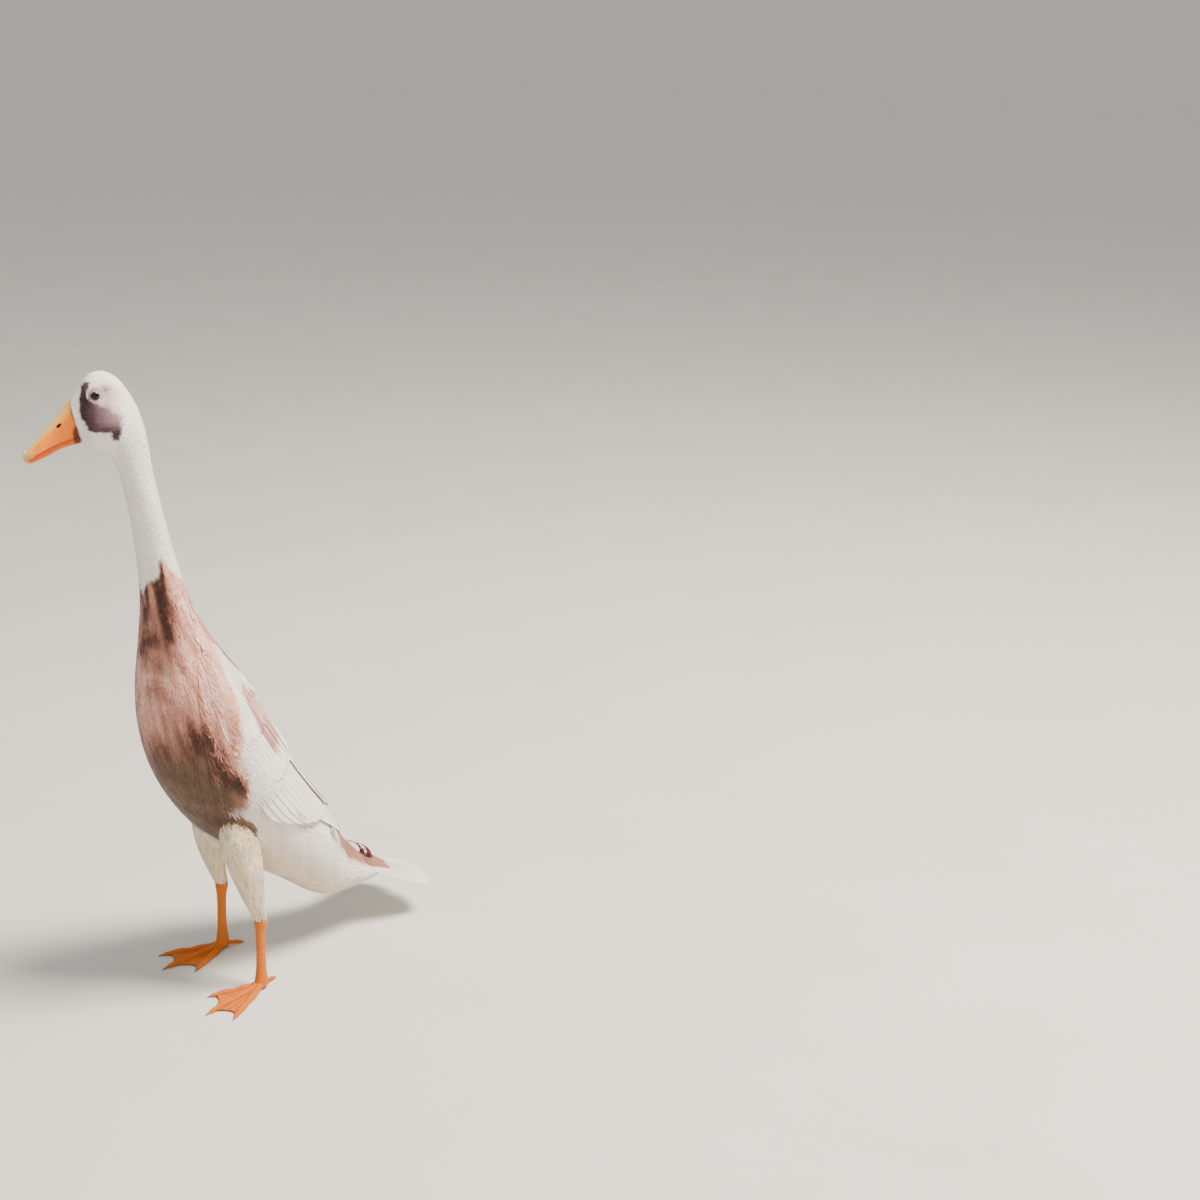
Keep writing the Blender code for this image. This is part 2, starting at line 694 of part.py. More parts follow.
def build_tail(finish):
    core = tube("core", skin_rings(TAIL_END, TAIL_ROOT, 6, 24))
    pieces = [core, *(tail_feather(number) for number in range(TAIL_COUNT))]
    pieces += [curled_feather(*curl) for curl in CURLS]
    fuse("tail", pieces, finish)


def stand_on_origin():
    """Moves the whole bird so that the middle of its box's underside is the origin."""
    things = [o for o in bpy.context.scene.objects if o.type == "MESH"]
    points = np.array([v.co for o in things for v in o.data.vertices])
    low, high = points.min(0), points.max(0)
    shift = Vector((-(low[0] + high[0]) / 2, -(low[1] + high[1]) / 2, -low[2]))
    for thing in things:
        for vertex in thing.data.vertices:
            vertex.co += shift


def main():
    for thing in list(bpy.data.objects):
        bpy.data.objects.remove(thing)
    fawn = material("fawn feathers", (0.52, 0.30, 0.21), 0.85)
    white = material("white feathers", (0.86, 0.83, 0.78), 0.85)
    horn = material("orange horn", (0.85, 0.30, 0.04), 0.45)
    eye = material("dark eye", (0.02, 0.015, 0.012), 0.08)
    build_torso(fawn)
    build_neck(white)
    build_head(white)
    build_eyes(eye)
    build_bill(horn)
    build_wings(white)
    build_tail(white)
    build_legs(white, horn, lambda: tube("cutter", skin_rings(TAIL_ROOT, NECK_ROOT, 23, BODY_SIDES, GAP)))
    stand_on_origin()


main()
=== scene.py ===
"""Indian runner drake, fawn and white, life size, standing with its head turned to its right.

Units are metres with +Z up. The bird faces -Y and its left side is +X. The order is skin, body
feathers, wings, tail, eyes, bill, legs and feet, then the floor, the lights and the camera.
"""

import math

import bpy
import numpy as np
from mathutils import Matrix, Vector, kdtree
from mathutils.bvhtree import BVHTree


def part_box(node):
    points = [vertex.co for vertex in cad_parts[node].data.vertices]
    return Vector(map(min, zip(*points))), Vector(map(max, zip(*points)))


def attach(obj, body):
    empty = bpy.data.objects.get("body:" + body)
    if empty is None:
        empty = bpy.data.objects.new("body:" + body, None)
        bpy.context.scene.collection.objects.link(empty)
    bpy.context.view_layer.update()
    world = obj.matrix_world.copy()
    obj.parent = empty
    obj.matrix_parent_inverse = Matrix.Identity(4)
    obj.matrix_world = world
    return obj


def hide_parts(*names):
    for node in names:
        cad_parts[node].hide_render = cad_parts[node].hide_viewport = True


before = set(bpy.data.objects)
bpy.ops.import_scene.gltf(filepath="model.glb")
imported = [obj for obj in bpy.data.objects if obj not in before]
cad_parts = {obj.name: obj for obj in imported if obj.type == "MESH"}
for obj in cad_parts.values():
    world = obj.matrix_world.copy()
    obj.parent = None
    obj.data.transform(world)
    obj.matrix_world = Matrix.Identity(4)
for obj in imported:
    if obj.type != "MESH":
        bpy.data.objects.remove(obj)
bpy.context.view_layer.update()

# Skin of the whole bird: the flesh under the feathers, one surface from the tail's stump to the
# root of the bill with both thighs grown into it. It is pale pink skin with the down's colour over
# it, and hardly shows. It lies inside the body's outline by the depth of the coat.
CM, MM = 0.01, 0.001
LEFT, RIGHT = 1, -1
SIDES = {"left": LEFT, "right": RIGHT}
HEAD_TURN = math.radians(-29)
TURN_AXIS = 6.3 * CM  # how far forward of the feet the neck's twist stands
TURN_STARTS, TURN_ENDS = 40.3 * CM, 47.9 * CM

SECTIONS = [  # back line forward and height, belly line forward and height, half width, widest, in cm
    (-14.9, 5.6, -14.7, 5.0, 2.60, 0),
    (-13.8, 6.7, -13.0, 4.5, 2.95, 0),
    (-12.5, 8.3, -11.0, 4.15, 3.15, 0),
    (-11.0, 10.2, -8.5, 4.5, 3.5, 0),
    (-10.0, 12.2, -4.9, 7.3, 4.3, 0),
    (-8.4, 14.7, -1.3, 10.1, 4.9, 0),
    (-6.65, 17.6, 1.75, 13.2, 5.25, 0),
    (-4.8, 20.9, 4.5, 16.7, 5.35, 0),
    (-3.1, 24.3, 6.45, 20.5, 5.25, 0),
    (-1.3, 27.6, 7.4, 24.5, 4.85, 0),
    (0.7, 30.8, 7.4, 28.3, 4.15, 0),
    (2.05, 33.8, 6.95, 31.9, 3.25, 0),
    (2.95, 36.6, 6.65, 35.3, 2.4, 0),
    (3.65, 39.4, 6.65, 38.7, 1.85, 0),
    (4.25, 42.2, 6.95, 41.9, 1.55, 0),
    (4.75, 45.0, 7.35, 44.8, 1.42, 0),
    (5.1, 47.4, 7.7, 47.0, 1.42, 0),
    (5.25, 49.2, 8.05, 48.15, 1.48, 0),
    (5.45, 50.7, 8.55, 48.8, 1.6, 0),
    (5.8, 52.1, 9.0, 49.05, 1.72, -0.05),
    (6.4, 53.5, 9.35, 49.2, 1.78, -0.1),
    (7.25, 54.75, 9.65, 49.35, 1.76, -0.15),
    (8.35, 55.35, 9.9, 49.45, 1.66, -0.15),
    (9.45, 55.1, 10.1, 49.55, 1.46, -0.1),
    (10.3, 54.15, 10.25, 49.7, 1.28, -0.05),
    (11.03, 53.15, 10.38, 49.80, 1.16, 0),
]
BILL_ROOT = 25  # the last section


def spline(rows, at):
    """A smooth curve through rows, at fractional row numbers."""
    rows, at = np.asarray(rows, float), np.asarray(at, float)
    rows = np.vstack([2 * rows[0] - rows[1], rows, 2 * rows[-1] - rows[-2]])
    start = np.clip(np.floor(at).astype(int), 0, len(rows) - 4)
    u = (at - start)[..., None]
    a, b, c, d = (rows[start + k] for k in range(4))
    return 0.5 * (2 * b + (c - a) * u + (2 * a - 5 * b + 4 * c - d) * u**2 + (3 * b - a - 3 * c + d) * u**3)


def smooth_step(share):
    """A share from 0 to 1 with soft ends."""
    return share * share * (3 - 2 * share)


def ring_grid(rows, row_count, sides, start=0.0):
    """Places on a tube's surface, from row 0 to the row numbered rows, and round it."""
    around = np.linspace(start, start + 2 * math.pi, sides, endpoint=False)
    return np.meshgrid(np.linspace(0, rows, row_count), around, indexing="ij")


def to_world(forward, height, side):
    """Points from distances forward, up and to the left."""
    return np.stack(np.broadcast_arrays(side, -forward, height), -1)


def turned(points):
    """Points of the neck and head after the neck's twist."""
    share = np.clip((points[..., 2] - TURN_STARTS) / (TURN_ENDS - TURN_STARTS), 0, 1)
    angle = HEAD_TURN * smooth_step(share)
    x, y = points[..., 0], points[..., 1] + TURN_AXIS
    turned_x = x * np.cos(angle) - y * np.sin(angle)
    turned_y = x * np.sin(angle) + y * np.cos(angle) - TURN_AXIS
    return np.stack([turned_x, turned_y, points[..., 2]], -1)


def head_point(forward, height, side):
    """A point of the head in metres, given in its own plane in cm."""
    return turned(CM * to_world(*(np.asarray(value, float) for value in (forward, height, side))))


TAIL_SLOPE = math.radians(-25)
TAIL_WAY = 1.4 * CM * to_world(-math.cos(TAIL_SLOPE), math.sin(TAIL_SLOPE), 0.0)


def plain_body(at, turn):
    """The body before the neck's twist: at is a section, turn the angle from the back to the left."""
    past = np.minimum(at, 0)
    at = np.maximum(at, 0)
    back, belly, rest = np.split(spline(SECTIONS, at), [2, 4], axis=-1)
    level = np.cos(turn) + rest[..., 1] * np.sin(turn) ** 2
    middle = (back + belly) / 2 + (back - belly) / 2 * level[..., None]
    places = CM * to_world(middle[..., 0], middle[..., 1], rest[..., 0] * np.sin(turn))
    return places - past[..., None] * TAIL_WAY


def slopes(surface, at, turn):
    step = 1e-3
    lengthwise = (surface(at + step, turn) - surface(at - step, turn)) / (2 * step)
    sideways = (surface(at, turn + step) - surface(at, turn - step)) / (2 * step)
    return lengthwise, sideways


def raised(surface, at, turn, out):
    """Points of a surface moved out from it by out metres."""
    at, turn, out = np.broadcast_arrays(np.asarray(at, float), np.asarray(turn, float), out)
    normal = np.cross(*slopes(surface, at, turn))
    normal /= np.linalg.norm(normal, axis=-1, keepdims=True) + 1e-12
    return surface(at, turn) + normal * out[..., None]


def body(at, turn, out=0.0):
    """The plumage's outer surface. Over the tail's root it lies on the tail feathers."""
    stump = 4.5 * MM * np.clip((1.5 - at) / 1.5, 0, 1) ** 2 * np.clip(np.cos(turn), 0, 1)
    return turned(raised(plain_body, at, turn, out + stump))


THIGH = [  # from the ankle up: forward, height, side, half length fore and aft, half width, in cm
    (-0.58, 6.75, 4.25, 0.62, 0.56),
    (-0.25, 8.0, 4.25, 0.8, 0.82),
    (0.12, 9.9, 4.15, 1.15, 1.2),
    (0.4, 12.2, 3.9, 1.55, 1.5),
    (0.5, 14.8, 3.5, 1.8, 1.5),
    (0.1, 17.6, 3.0, 1.5, 1.1),
]
STEP = {LEFT: 0.9, RIGHT: -0.85}  # how far forward each foot stands, in cm


def limb(rows, side):
    """The surface of a leg's upper or lower part, round from its outer side to the front."""

    def surface(at, turn):
        forward, height, across, half_length, half_width = np.moveaxis(spline(rows, at), -1, 0)
        ahead, up = np.moveaxis(spline(rows, at + 0.05) - spline(rows, at - 0.05), -1, 0)[:2]
        size = np.hypot(ahead, up)
        lean = np.sin(turn) * half_length
        return CM * to_world(
            forward + STEP[side] + lean * up / size,
            height - lean * ahead / size,
            side * (across + np.cos(turn) * half_width),
        )

    def out_of(at, turn, out=0.0):
        return raised(surface, at, turn, np.asarray(out) * side)

    return out_of


EYE_AT = (9.03, 53.68)  # forward and height in the head's plane, in cm
EYE_SIDE, EYE_RADIUS = 1.12, 0.5
low, high = (np.array(corner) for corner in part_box("eye_left"))
PLACE = (low + high) / 2 - head_point(*EYE_AT, EYE_SIDE)  # from the feet's middle to the row's origin


def colour(code):
    """Linear red, green and blue of an sRGB hex value."""
    values = np.array([int(code[k : k + 2], 16) / 255 for k in (1, 3, 5)])
    return np.where(values <= 0.04045, values / 12.92, ((values + 0.055) / 1.055) ** 2.4)


def blend(first, second, share):
    return first + (second - first) * np.clip(share, 0, 1)[..., None]


def drift(points, size, seed):
    """A smooth random value from -1 to 1 at each point, with lumps of about the given size in metres."""
    random = np.random.default_rng(seed)
    total = 0.0
    for _ in range(6):
        way = random.normal(size=3)
        way *= 2 * math.pi / size * random.uniform(0.6, 1.5) / np.linalg.norm(way)
        total = total + np.sin(points @ way + random.uniform(0, 2 * math.pi))
    return np.clip(total / 2.6, -1, 1)


WHITE, CREAM = colour("#F4EFE8"), colour("#DFC8A0")
TONES = [0.0, 0.25, 0.5, 0.75, 1.0]
FAWNS = np.array([colour(c) for c in ("#F6D4C5", "#E3AA98", "#B67D6B", "#734535", "#40241B")])
# a dull grey-brown fawn: painted shade on the lower breast; on the thighs partly soiled feathers and partly
# painted shade
SHADE_AND_SOIL_FAWN = colour("#574634")
PATCH_FRONT, PATCH_REAR = colour("#3F2630"), colour("#9A7C80")
HAZE, SMUDGE = colour("#BF97A2"), colour("#85646F")  # soft spots round and behind the eye
# the fawn's outlines: neck and belly as degrees and section, flank and mantle as section and degrees
NECK_LINE = [
    (0, 12.3), (30, 12.3), (60, 12.5), (78, 12.8), (89, 13.13), (105, 13.23), (129, 13.1), (154, 12.85),
    (180, 12.45),
]
FLANK_LINE = [
    (6.2, 132), (6.3, 119), (6.6, 112), (7.1, 103), (7.5, 95), (8.0, 88), (8.4, 81), (8.9, 77), (9.4, 73),
    (10.0, 66), (10.4, 55), (10.9, 42), (11.3, 32), (11.8, 20),
]
BELLY_LINE = [(110, 6.9), (119, 6.35), (133, 6.19), (150, 6.25), (167, 6.28), (180, 6.4)]
MANTLE_LINE = [(3.0, 60), (4.0, 26), (5.5, 18), (7.5, 19), (9.0, 24), (10.2, 38), (11.0, 60)]
# dark streaks on the breast. The first four, below the neck and down the front, are partly the breast's own
# darker feathers and partly painted shade under the head and neck; the last two are a painted shadow edge,
# where the shade over the lower breast meets the lit flank
BREAST_STREAKS_AND_SHADE = [  # points (section, degrees from the back line), half width in mm, strength
    ([(13.3, 107), (12.9, 120), (12.45, 128)], 3.5, 0.9),
    ([(12.8, 133), (12.2, 130), (11.7, 126)], 10.0, 0.75),
    ([(11.7, 126), (11.2, 118), (10.6, 114)], 5.0, 0.4),
    ([(12.6, 172), (11.8, 176), (10.9, 172)], 8.0, 0.8),
    ([(8.9, 120), (8.5, 114), (8.1, 110), (7.7, 108)], 11.0, 0.6),
    ([(8.7, 110), (8.3, 108), (7.9, 108), (7.4, 108)], 4.0, 0.5),
]
HEAD_PATCH = [  # outline in the head's plane, forward and height in cm
    (9.5, 54.75), (9.85, 54.55), (10.15, 53.9), (10.25, 53.2), (10.25, 52.0), (9.95, 51.5), (9.72, 51.0),
    (9.35, 50.8), (8.5, 50.75), (8.1, 50.8), (7.95, 50.1), (7.55, 50.0), (7.3, 50.6), (7.15, 51.9),
    (7.75, 52.5), (8.0, 53.0), (8.5, 52.9), (8.9, 53.1), (9.4, 53.3), (9.55, 54.0), (9.35, 54.6),
]
FACE_FROM = 16  # the section where the head's markings may start
SECTION_MM, DEGREE_MM = 31, 0.85  # about how long a section is, and how wide a degree round the body


def to_line(points, line):
    """Distance from points to a broken line, both in one plane."""
    best = np.full(points.shape[:-1], 1e9)
    for a, b in zip(np.array(line[:-1], float), np.array(line[1:], float)):
        run = b - a
        share = np.clip(((points - a) @ run) / (run @ run), 0, 1)
        best = np.minimum(best, np.linalg.norm(points - a - share[..., None] * run, axis=-1))
    return best


def inside(points, ring):
    """Distance in from the edge of a closed ring, negative outside it."""
    ring = np.array(ring, float)
    within = np.zeros(points.shape[:-1], bool)
    for a, b in zip(ring, np.roll(ring, -1, 0)):
        crosses = (a[1] > points[..., 1]) != (b[1] > points[..., 1])
        at = a[0] + (points[..., 1] - a[1]) / (b[1] - a[1] + 1e-12) * (b[0] - a[0])
        within ^= crosses & (points[..., 0] < at)
    edge = to_line(points, [*ring, ring[0]])
    return np.where(within, edge, -edge)


def body_colour(at, turn):
    """The plumage's colour at places of the body: a fawn breast, flank and mantle on a white bird, with
    painted shade on the lower breast and below the neck.
    """
    at, turn = np.broadcast_arrays(np.asarray(at, float), np.asarray(turn, float))
    degrees = (np.degrees(turn) + 180) % 360 - 180
    left = degrees > 0
    round_to = np.abs(degrees)
    where = plain_body(at, turn)
    wobble = drift(where, 0.018, 3)
    at_b = at + 0.16 * wobble + np.where(left, 0, 0.14)
    round_b = round_to + 5 * drift(where, 0.024, 4) + np.where(left, 0, 3)
    top = np.interp(round_b, *np.transpose(NECK_LINE))
    flank = np.interp(at_b, *np.transpose(FLANK_LINE))
    floor = np.interp(round_b, *np.transpose(BELLY_LINE))
    mantle = np.interp(at_b, *np.transpose(MANTLE_LINE))
    breast = np.minimum((top - at_b) * 3.0, np.minimum((at_b - floor) * 3.0, (round_b - flank) * 0.085))
    back = np.minimum((12.2 - at_b) * 3.0, (mantle - round_b) * 0.08)
    fawn = np.clip(0.5 + np.maximum(breast, back) / 0.35, 0, 1)
    # painted shade: the lower breast, which lies under the body away from the light, is made darker and
    # browner
    shaded_low_breast = np.interp(at_b, [8.2, 9.4], [1, 0]) * np.interp(round_b, [108, 124], [0, 1])
    tone = np.interp(round_b, [60, 95, 120, 145, 165, 180], [0.16, 0.24, 0.38, 0.42, 0.30, 0.25])
    tone = tone + 0.22 * np.interp(at_b, [10.5, 11.9], [0, 1]) * np.interp(round_b, [108, 122], [0, 1])
    tone = tone + 0.09 * wobble + 0.15 * drift(where * [1, 1, 0.35], 0.009, 5)
    # painted shade: the lower breast is made darker still
    tone = tone + 0.30 * np.interp(at_b, [8.6, 9.8], [1, 0]) * np.interp(round_b, [98, 114], [0, 1])
    tone = np.where(breast < back, 0.42 + 0.2 * wobble, tone)
    plane = np.stack([at_b * SECTION_MM, round_b * DEGREE_MM], -1)
    # the breast's streaks: partly its own darker feathers, partly painted shade and a painted shadow edge
    for line, half_width, strength in BREAST_STREAKS_AND_SHADE:
        near = to_line(plane, np.array(line) * [SECTION_MM, DEGREE_MM]) / half_width
        tone = tone + 0.6 * strength * np.exp(-near * near) * (0.8 + 0.35 * drift(where, 0.006, 6))
    tone = np.clip(tone, 0, 1)
    fawns = np.stack([np.interp(tone, TONES, FAWNS[:, k]) for k in range(3)], -1)
    # painted shade: the lower breast is blended towards the shaded grey-brown fawn
    fawns = blend(fawns, SHADE_AND_SOIL_FAWN, 0.85 * shaded_low_breast * np.interp(tone, [0.8, 0.95], [1, 0.2]))
    cream = np.interp(at, [3, 6, 8], [0.6, 0.75, 0]) * np.interp(round_to, [90, 130], [0, 1])
    made = blend(blend(WHITE, CREAM, cream + 0.12 * wobble), fawns, fawn)
    rump = np.clip((4.4 + 0.4 * wobble - at) * 2, 0, 1) * np.clip((70 - round_b) / 12, 0, 1)
    made = blend(made, blend(FAWNS[2], FAWNS[3], 0.35 + 0.22 * wobble), rump)
    plane = np.stack([-where[..., 1], where[..., 2]], -1) / CM
    plane = plane + 0.07 * np.stack([drift(where, 0.004, 7), drift(where, 0.004, 8)], -1)
    rear = np.interp(plane[..., 0], [8.2, 9.3], [1, 0]) * np.interp(plane[..., 1], [50.8, 51.7], [0, 1])
    face = at > FACE_FROM
    patch = np.clip(0.5 + inside(plane, HEAD_PATCH) / (0.16 + 0.45 * rear), 0, 1) * face
    made = blend(made, blend(PATCH_FRONT, PATCH_REAR, rear + 0.12 * wobble), patch)

    def spot(place, size):
        """A soft round spot on the face, in the head's plane in cm."""
        return np.exp(-(((plane - place) / size) ** 2).sum(-1)) * face

    made = blend(made, HAZE, 0.75 * spot((8.2, 53.5), (0.95, 0.8)) * (1 - patch))
    return blend(made, SMUDGE, 0.9 * spot((8.15, 54.1), (0.42, 0.34)))


WING_OFF = 0.0009
WING_CORE = [  # section, upper and lower edge in degrees from the back line, thickness in cm
    (10.75, 50, 66, 0.12),
    (10.35, 36, 80, 0.36),
    (9.6, 27, 88, 0.44),
    (8.8, 21, 92, 0.42),
    (8.0, 16, 97, 0.34),
    (7.2, 14, 99, 0.26),
    (6.4, 13, 97, 0.17),
    (5.7, 13, 90, 0.11),
    (5.1, 15, 70, 0.07),
]


def wing_share(at, turn):
    """How far across the folded wing a place is: 0 at its upper edge, 1 at its lower edge."""
    rows = np.array(WING_CORE)[::-1]
    upper, lower = (np.interp(at, rows[:, 0], rows[:, k]) for k in (1, 2))
    return (np.abs(np.degrees(turn)) - upper) / (lower - upper)


def wing_rise(at, turn):
    """How far the folded wing stands off the body, in metres."""
    rows = np.array(WING_CORE)[::-1]
    thick = np.interp(at, rows[:, 0], rows[:, 3], left=0, right=0)
    share = wing_share(at, turn)
    profile = 0.4 + 0.6 * np.clip(np.sin(math.pi * np.clip(share, 0, 1)), 0, 1) ** 0.45
    edge = np.clip(np.minimum(share, 1 - share) / 0.06 + 0.5, 0, 1)
    return CM * thick * profile * edge


THIGH_DEPTH = 1.1  # in mm


def coat_depth(at):
    """How deep the feathers lie over the skin, in metres."""
    return MM * np.interp(at, [0, 3, 10, 13, 17, 19, 24, 25], [1.2, 1.6, 2.0, 1.2, 0.75, 0.55, 0.4, 0.15])


def add(nodes, kind, inputs=(), **settings):
    """A shader node with its settings, and its inputs linked to sockets or set to values."""
    made = nodes.new(kind)
    for key, value in settings.items():
        setattr(made, key, value)
    for key, value in dict(inputs).items():
        if isinstance(value, bpy.types.NodeSocket):
            nodes.id_data.links.new(value, made.inputs[key])
        else:
            made.inputs[key].default_value = value
    return made


def new_material(name, **shader_inputs):
    """A Principled material and the list of its nodes."""
    made = bpy.data.materials.new(name)
    made.use_nodes = True
    nodes = made.node_tree.nodes
    shader = nodes["Principled BSDF"]
    for key, value in shader_inputs.items():
        shader.inputs[key.replace("_", " ")].default_value = value
    return made, nodes, shader


def colour_and_relief(nodes, shader, shade, strength=0, distance=0, height=None):
    """The piece's own tint times a shade as its colour, and a relief of the given height in metres."""
    tint = add(nodes, "ShaderNodeVertexColor", layer_name="tint")
    both = {0: 1.0, 6: tint.outputs["Color"], 7: shade}
    mixed = add(nodes, "ShaderNodeMix", both, data_type="RGBA", blend_type="MULTIPLY")
    nodes.id_data.links.new(mixed.outputs[2], shader.inputs["Base Color"])
    if height:
        relief = add(nodes, "ShaderNodeBump", {"Strength": strength, "Distance": distance, "Height": height})
        nodes.id_data.links.new(relief.outputs["Normal"], shader.inputs["Normal"])


def mesh_piece(name, points, faces, finish, tints=None, places=None, vane=None):
    """A mesh of the bird. tints are colours of its points, places their spots on the skin's unwrap, and
    vane where each lies on its own feather."""
    mesh = bpy.data.meshes.new(name)
    mesh.from_pydata((np.asarray(points).reshape(-1, 3) + PLACE).tolist(), [], faces)
    if tints is not None:
        layer = mesh.color_attributes.new("tint", "FLOAT_COLOR", "POINT")
        whole = np.concatenate([tints.reshape(-1, 3), np.ones((len(mesh.vertices), 1))], 1)
        layer.data.foreach_set("color", whole.ravel())
    if places is not None:
        corners = np.empty(len(mesh.loops), np.int32)
        mesh.loops.foreach_get("vertex_index", corners)
        layer = mesh.uv_layers.new(name="OFBake")
        layer.data.foreach_set("uv", places.reshape(-1, 2)[corners].ravel())
    if vane is not None:
        mesh.attributes.new("vane", "FLOAT_VECTOR", "POINT").data.foreach_set("vector", vane.ravel())
    mesh.materials.append(finish)
    mesh.shade_smooth()
    made = bpy.data.objects.new(name, mesh)
    bpy.context.scene.collection.objects.link(made)
    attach(made, "root")
    return made


def tube_faces(rings, sides, closed=True):
    faces = [
        (r * sides + k, r * sides + (k + 1) % sides, (r + 1) * sides + (k + 1) % sides, (r + 1) * sides + k)
        for r in range(rings - 1)
        for k in range(sides)
    ]
    if closed:
        faces += [tuple(range(sides))[::-1], tuple((rings - 1) * sides + k for k in range(sides))]
    return faces


# plucked bird's skin with down: matt, soft, with fine pimples about 1 mm apart
skin_finish, nodes, shader = new_material("downy skin", Roughness=0.8)
spots = add(nodes, "ShaderNodeTexNoise", {"Scale": 900.0, "Detail": 3.0})
shade = add(nodes, "ShaderNodeMapRange", {"Value": spots.outputs["Fac"], "To Min": 0.72, "To Max": 0.98})
colour_and_relief(nodes, shader, shade.outputs["Result"], 0.4, 0.0003, spots.outputs["Fac"])

SKIN_ROWS, SKIN_SIDES = 260, 96


def settle(piece):
    """Makes the piece's modifiers part of its mesh."""
    merged = bpy.data.meshes.new_from_object(piece.evaluated_get(bpy.context.evaluated_depsgraph_get()))
    piece.modifiers.clear()
    piece.data = merged


trunk_at, trunk_turn = ring_grid(BILL_ROOT, SKIN_ROWS, SKIN_SIDES, start=-math.pi)
trunk = body(trunk_at, trunk_turn, wing_rise(trunk_at, trunk_turn) - coat_depth(trunk_at))
skin = mesh_piece("skin", trunk, tube_faces(SKIN_ROWS, SKIN_SIDES), skin_finish)
thighs = []
for side in SIDES.values():
    at, turn = ring_grid(5, 40, 40)
    depth = np.interp(at, [0, 1], [0.2, THIGH_DEPTH]) * MM
    thighs.append(limb(THIGH, side)(at, turn, -depth))
    thigh = mesh_piece("thigh", thighs[-1], tube_faces(40, 40), skin_finish)
    skin.data.update()
    union = skin.modifiers.new("thigh", "BOOLEAN")
    union.operation, union.solver, union.object = "UNION", "MANIFOLD", thigh
    settle(skin)
    bpy.data.objects.remove(thigh)
remesh = skin.modifiers.new("even", "REMESH")
remesh.mode, remesh.voxel_size, remesh.use_smooth_shade = "VOXEL", 0.0018, True
smooth = skin.modifiers.new("soften", "SMOOTH")
smooth.factor, smooth.iterations = 0.5, 6
settle(skin)
trees = []
for shape in (trunk, *thighs):
    tree = kdtree.KDTree(shape.shape[0] * shape.shape[1])
    for number, point in enumerate(shape.reshape(-1, 3) + PLACE):
        tree.insert(point, number)
    tree.balance()
    trees.append(tree)
# the crease between each thigh and the body is filled, as the flank's skin runs over both
crease = skin.vertex_groups.new(name="crease")
for vertex in skin.data.vertices:
    away = [tree.find(vertex.co)[2] for tree in trees]
    share = 1 - max(away[0], min(away[1:])) / 0.016
    if share > 0:
        crease.add([vertex.index], min(1.0, 1.6 * share), "REPLACE")
fill = skin.modifiers.new("fill", "SMOOTH")
fill.factor, fill.iterations, fill.vertex_group = 0.5, 90, "crease"
settle(skin)
skin.data.name = "skin"
if not skin.data.materials:
    skin.data.materials.append(skin_finish)


def trunk_colour(points):
    """The markings' colour at the body's places nearest to points, and how far off each is."""
    found = np.array([trees[0].find(point)[1:] for point in points])
    number = found[:, 0].astype(int)
    return body_colour(trunk_at.ravel()[number], trunk_turn.ravel()[number]), found[:, 1]


tints, away = trunk_colour([vertex.co for vertex in skin.data.vertices])
tints = blend(tints, CREAM, away > 3 * MM)
layer = skin.data.color_attributes.new("tint", "FLOAT_COLOR", "POINT")
layer.data.foreach_set("color", np.concatenate([tints, np.ones((len(tints), 1))], 1).ravel())
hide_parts("torso", "neck", "head", "thigh_left", "thigh_right")

# Body feathers: small overlapping feathers with rounded soft ends, and over them the loose barbs of
# their edges. They grow in staggered rows and lie from the bill towards the tail, and down the
# thighs. They are longest on the body and as short as velvet on the face.
# vanes of matt horn with a soft sheen along the edges of each feather, as on dry, oiled plumage
feather_finish, nodes, shader = new_material(
    "plumage", Roughness=0.68, Sheen_Weight=0.3, Sheen_Roughness=0.4, Specular_IOR_Level=0.3
)
place = add(nodes, "ShaderNodeAttribute", attribute_name="vane")
parts = add(nodes, "ShaderNodeSeparateXYZ", {"Vector": place.outputs["Vector"]})
aside = add(nodes, "ShaderNodeMath", {0: parts.outputs["X"]}, operation="ABSOLUTE")
both = {0: aside.outputs[0], 1: -1.3, 2: parts.outputs["Y"]}
slant = add(nodes, "ShaderNodeMath", both, operation="MULTIPLY_ADD")
fine = add(nodes, "ShaderNodeMath", {0: aside.outputs[0], 1: 0.12}, operation="MULTIPLY")
lines = add(nodes, "ShaderNodeCombineXYZ", {0: slant.outputs[0], 1: fine.outputs[0], 2: parts.outputs["Z"]})
# barbs about 0.4 mm apart, coarser than real so that they show
fine = {"Vector": lines.outputs[0], "Scale": 2.4, "Detail": 2.0, "Roughness": 0.6}
barbs = add(nodes, "ShaderNodeTexNoise", fine)
soft = add(nodes, "ShaderNodeTexNoise", {"Vector": lines.outputs[0], "Scale": 0.45, "Detail": 2.0})
both = {0: soft.outputs["Fac"], 1: 0.5, 2: barbs.outputs["Fac"]}
level = add(nodes, "ShaderNodeMath", both, operation="MULTIPLY_ADD")
ends = {"From Min": 0.48, "From Max": 1.0, "To Min": 0.80, "To Max": 1.06}
shade = add(nodes, "ShaderNodeMapRange", {"Value": level.outputs[0], **ends})
ends = {"From Min": 0.15, "From Max": 0.4, "To Min": 0.9, "To Max": 1.0}
shaft = add(nodes, "ShaderNodeMapRange", {"Value": aside.outputs[0], **ends})
both = add(nodes, "ShaderNodeMath", {0: shade.outputs[0], 1: shaft.outputs[0]}, operation="MULTIPLY")
colour_and_relief(nodes, shader, both.outputs[0], 0.6, 0.00025, barbs.outputs["Fac"])
PATCH = 0.003  # size of a feather's patch on the unwrap
ACROSS, QUILL_ACROSS = 3, 7  # points across a small feather and across a quill feather
CAMBER = 0.07  # how far a small feather's edges bend down, as a share of its half width


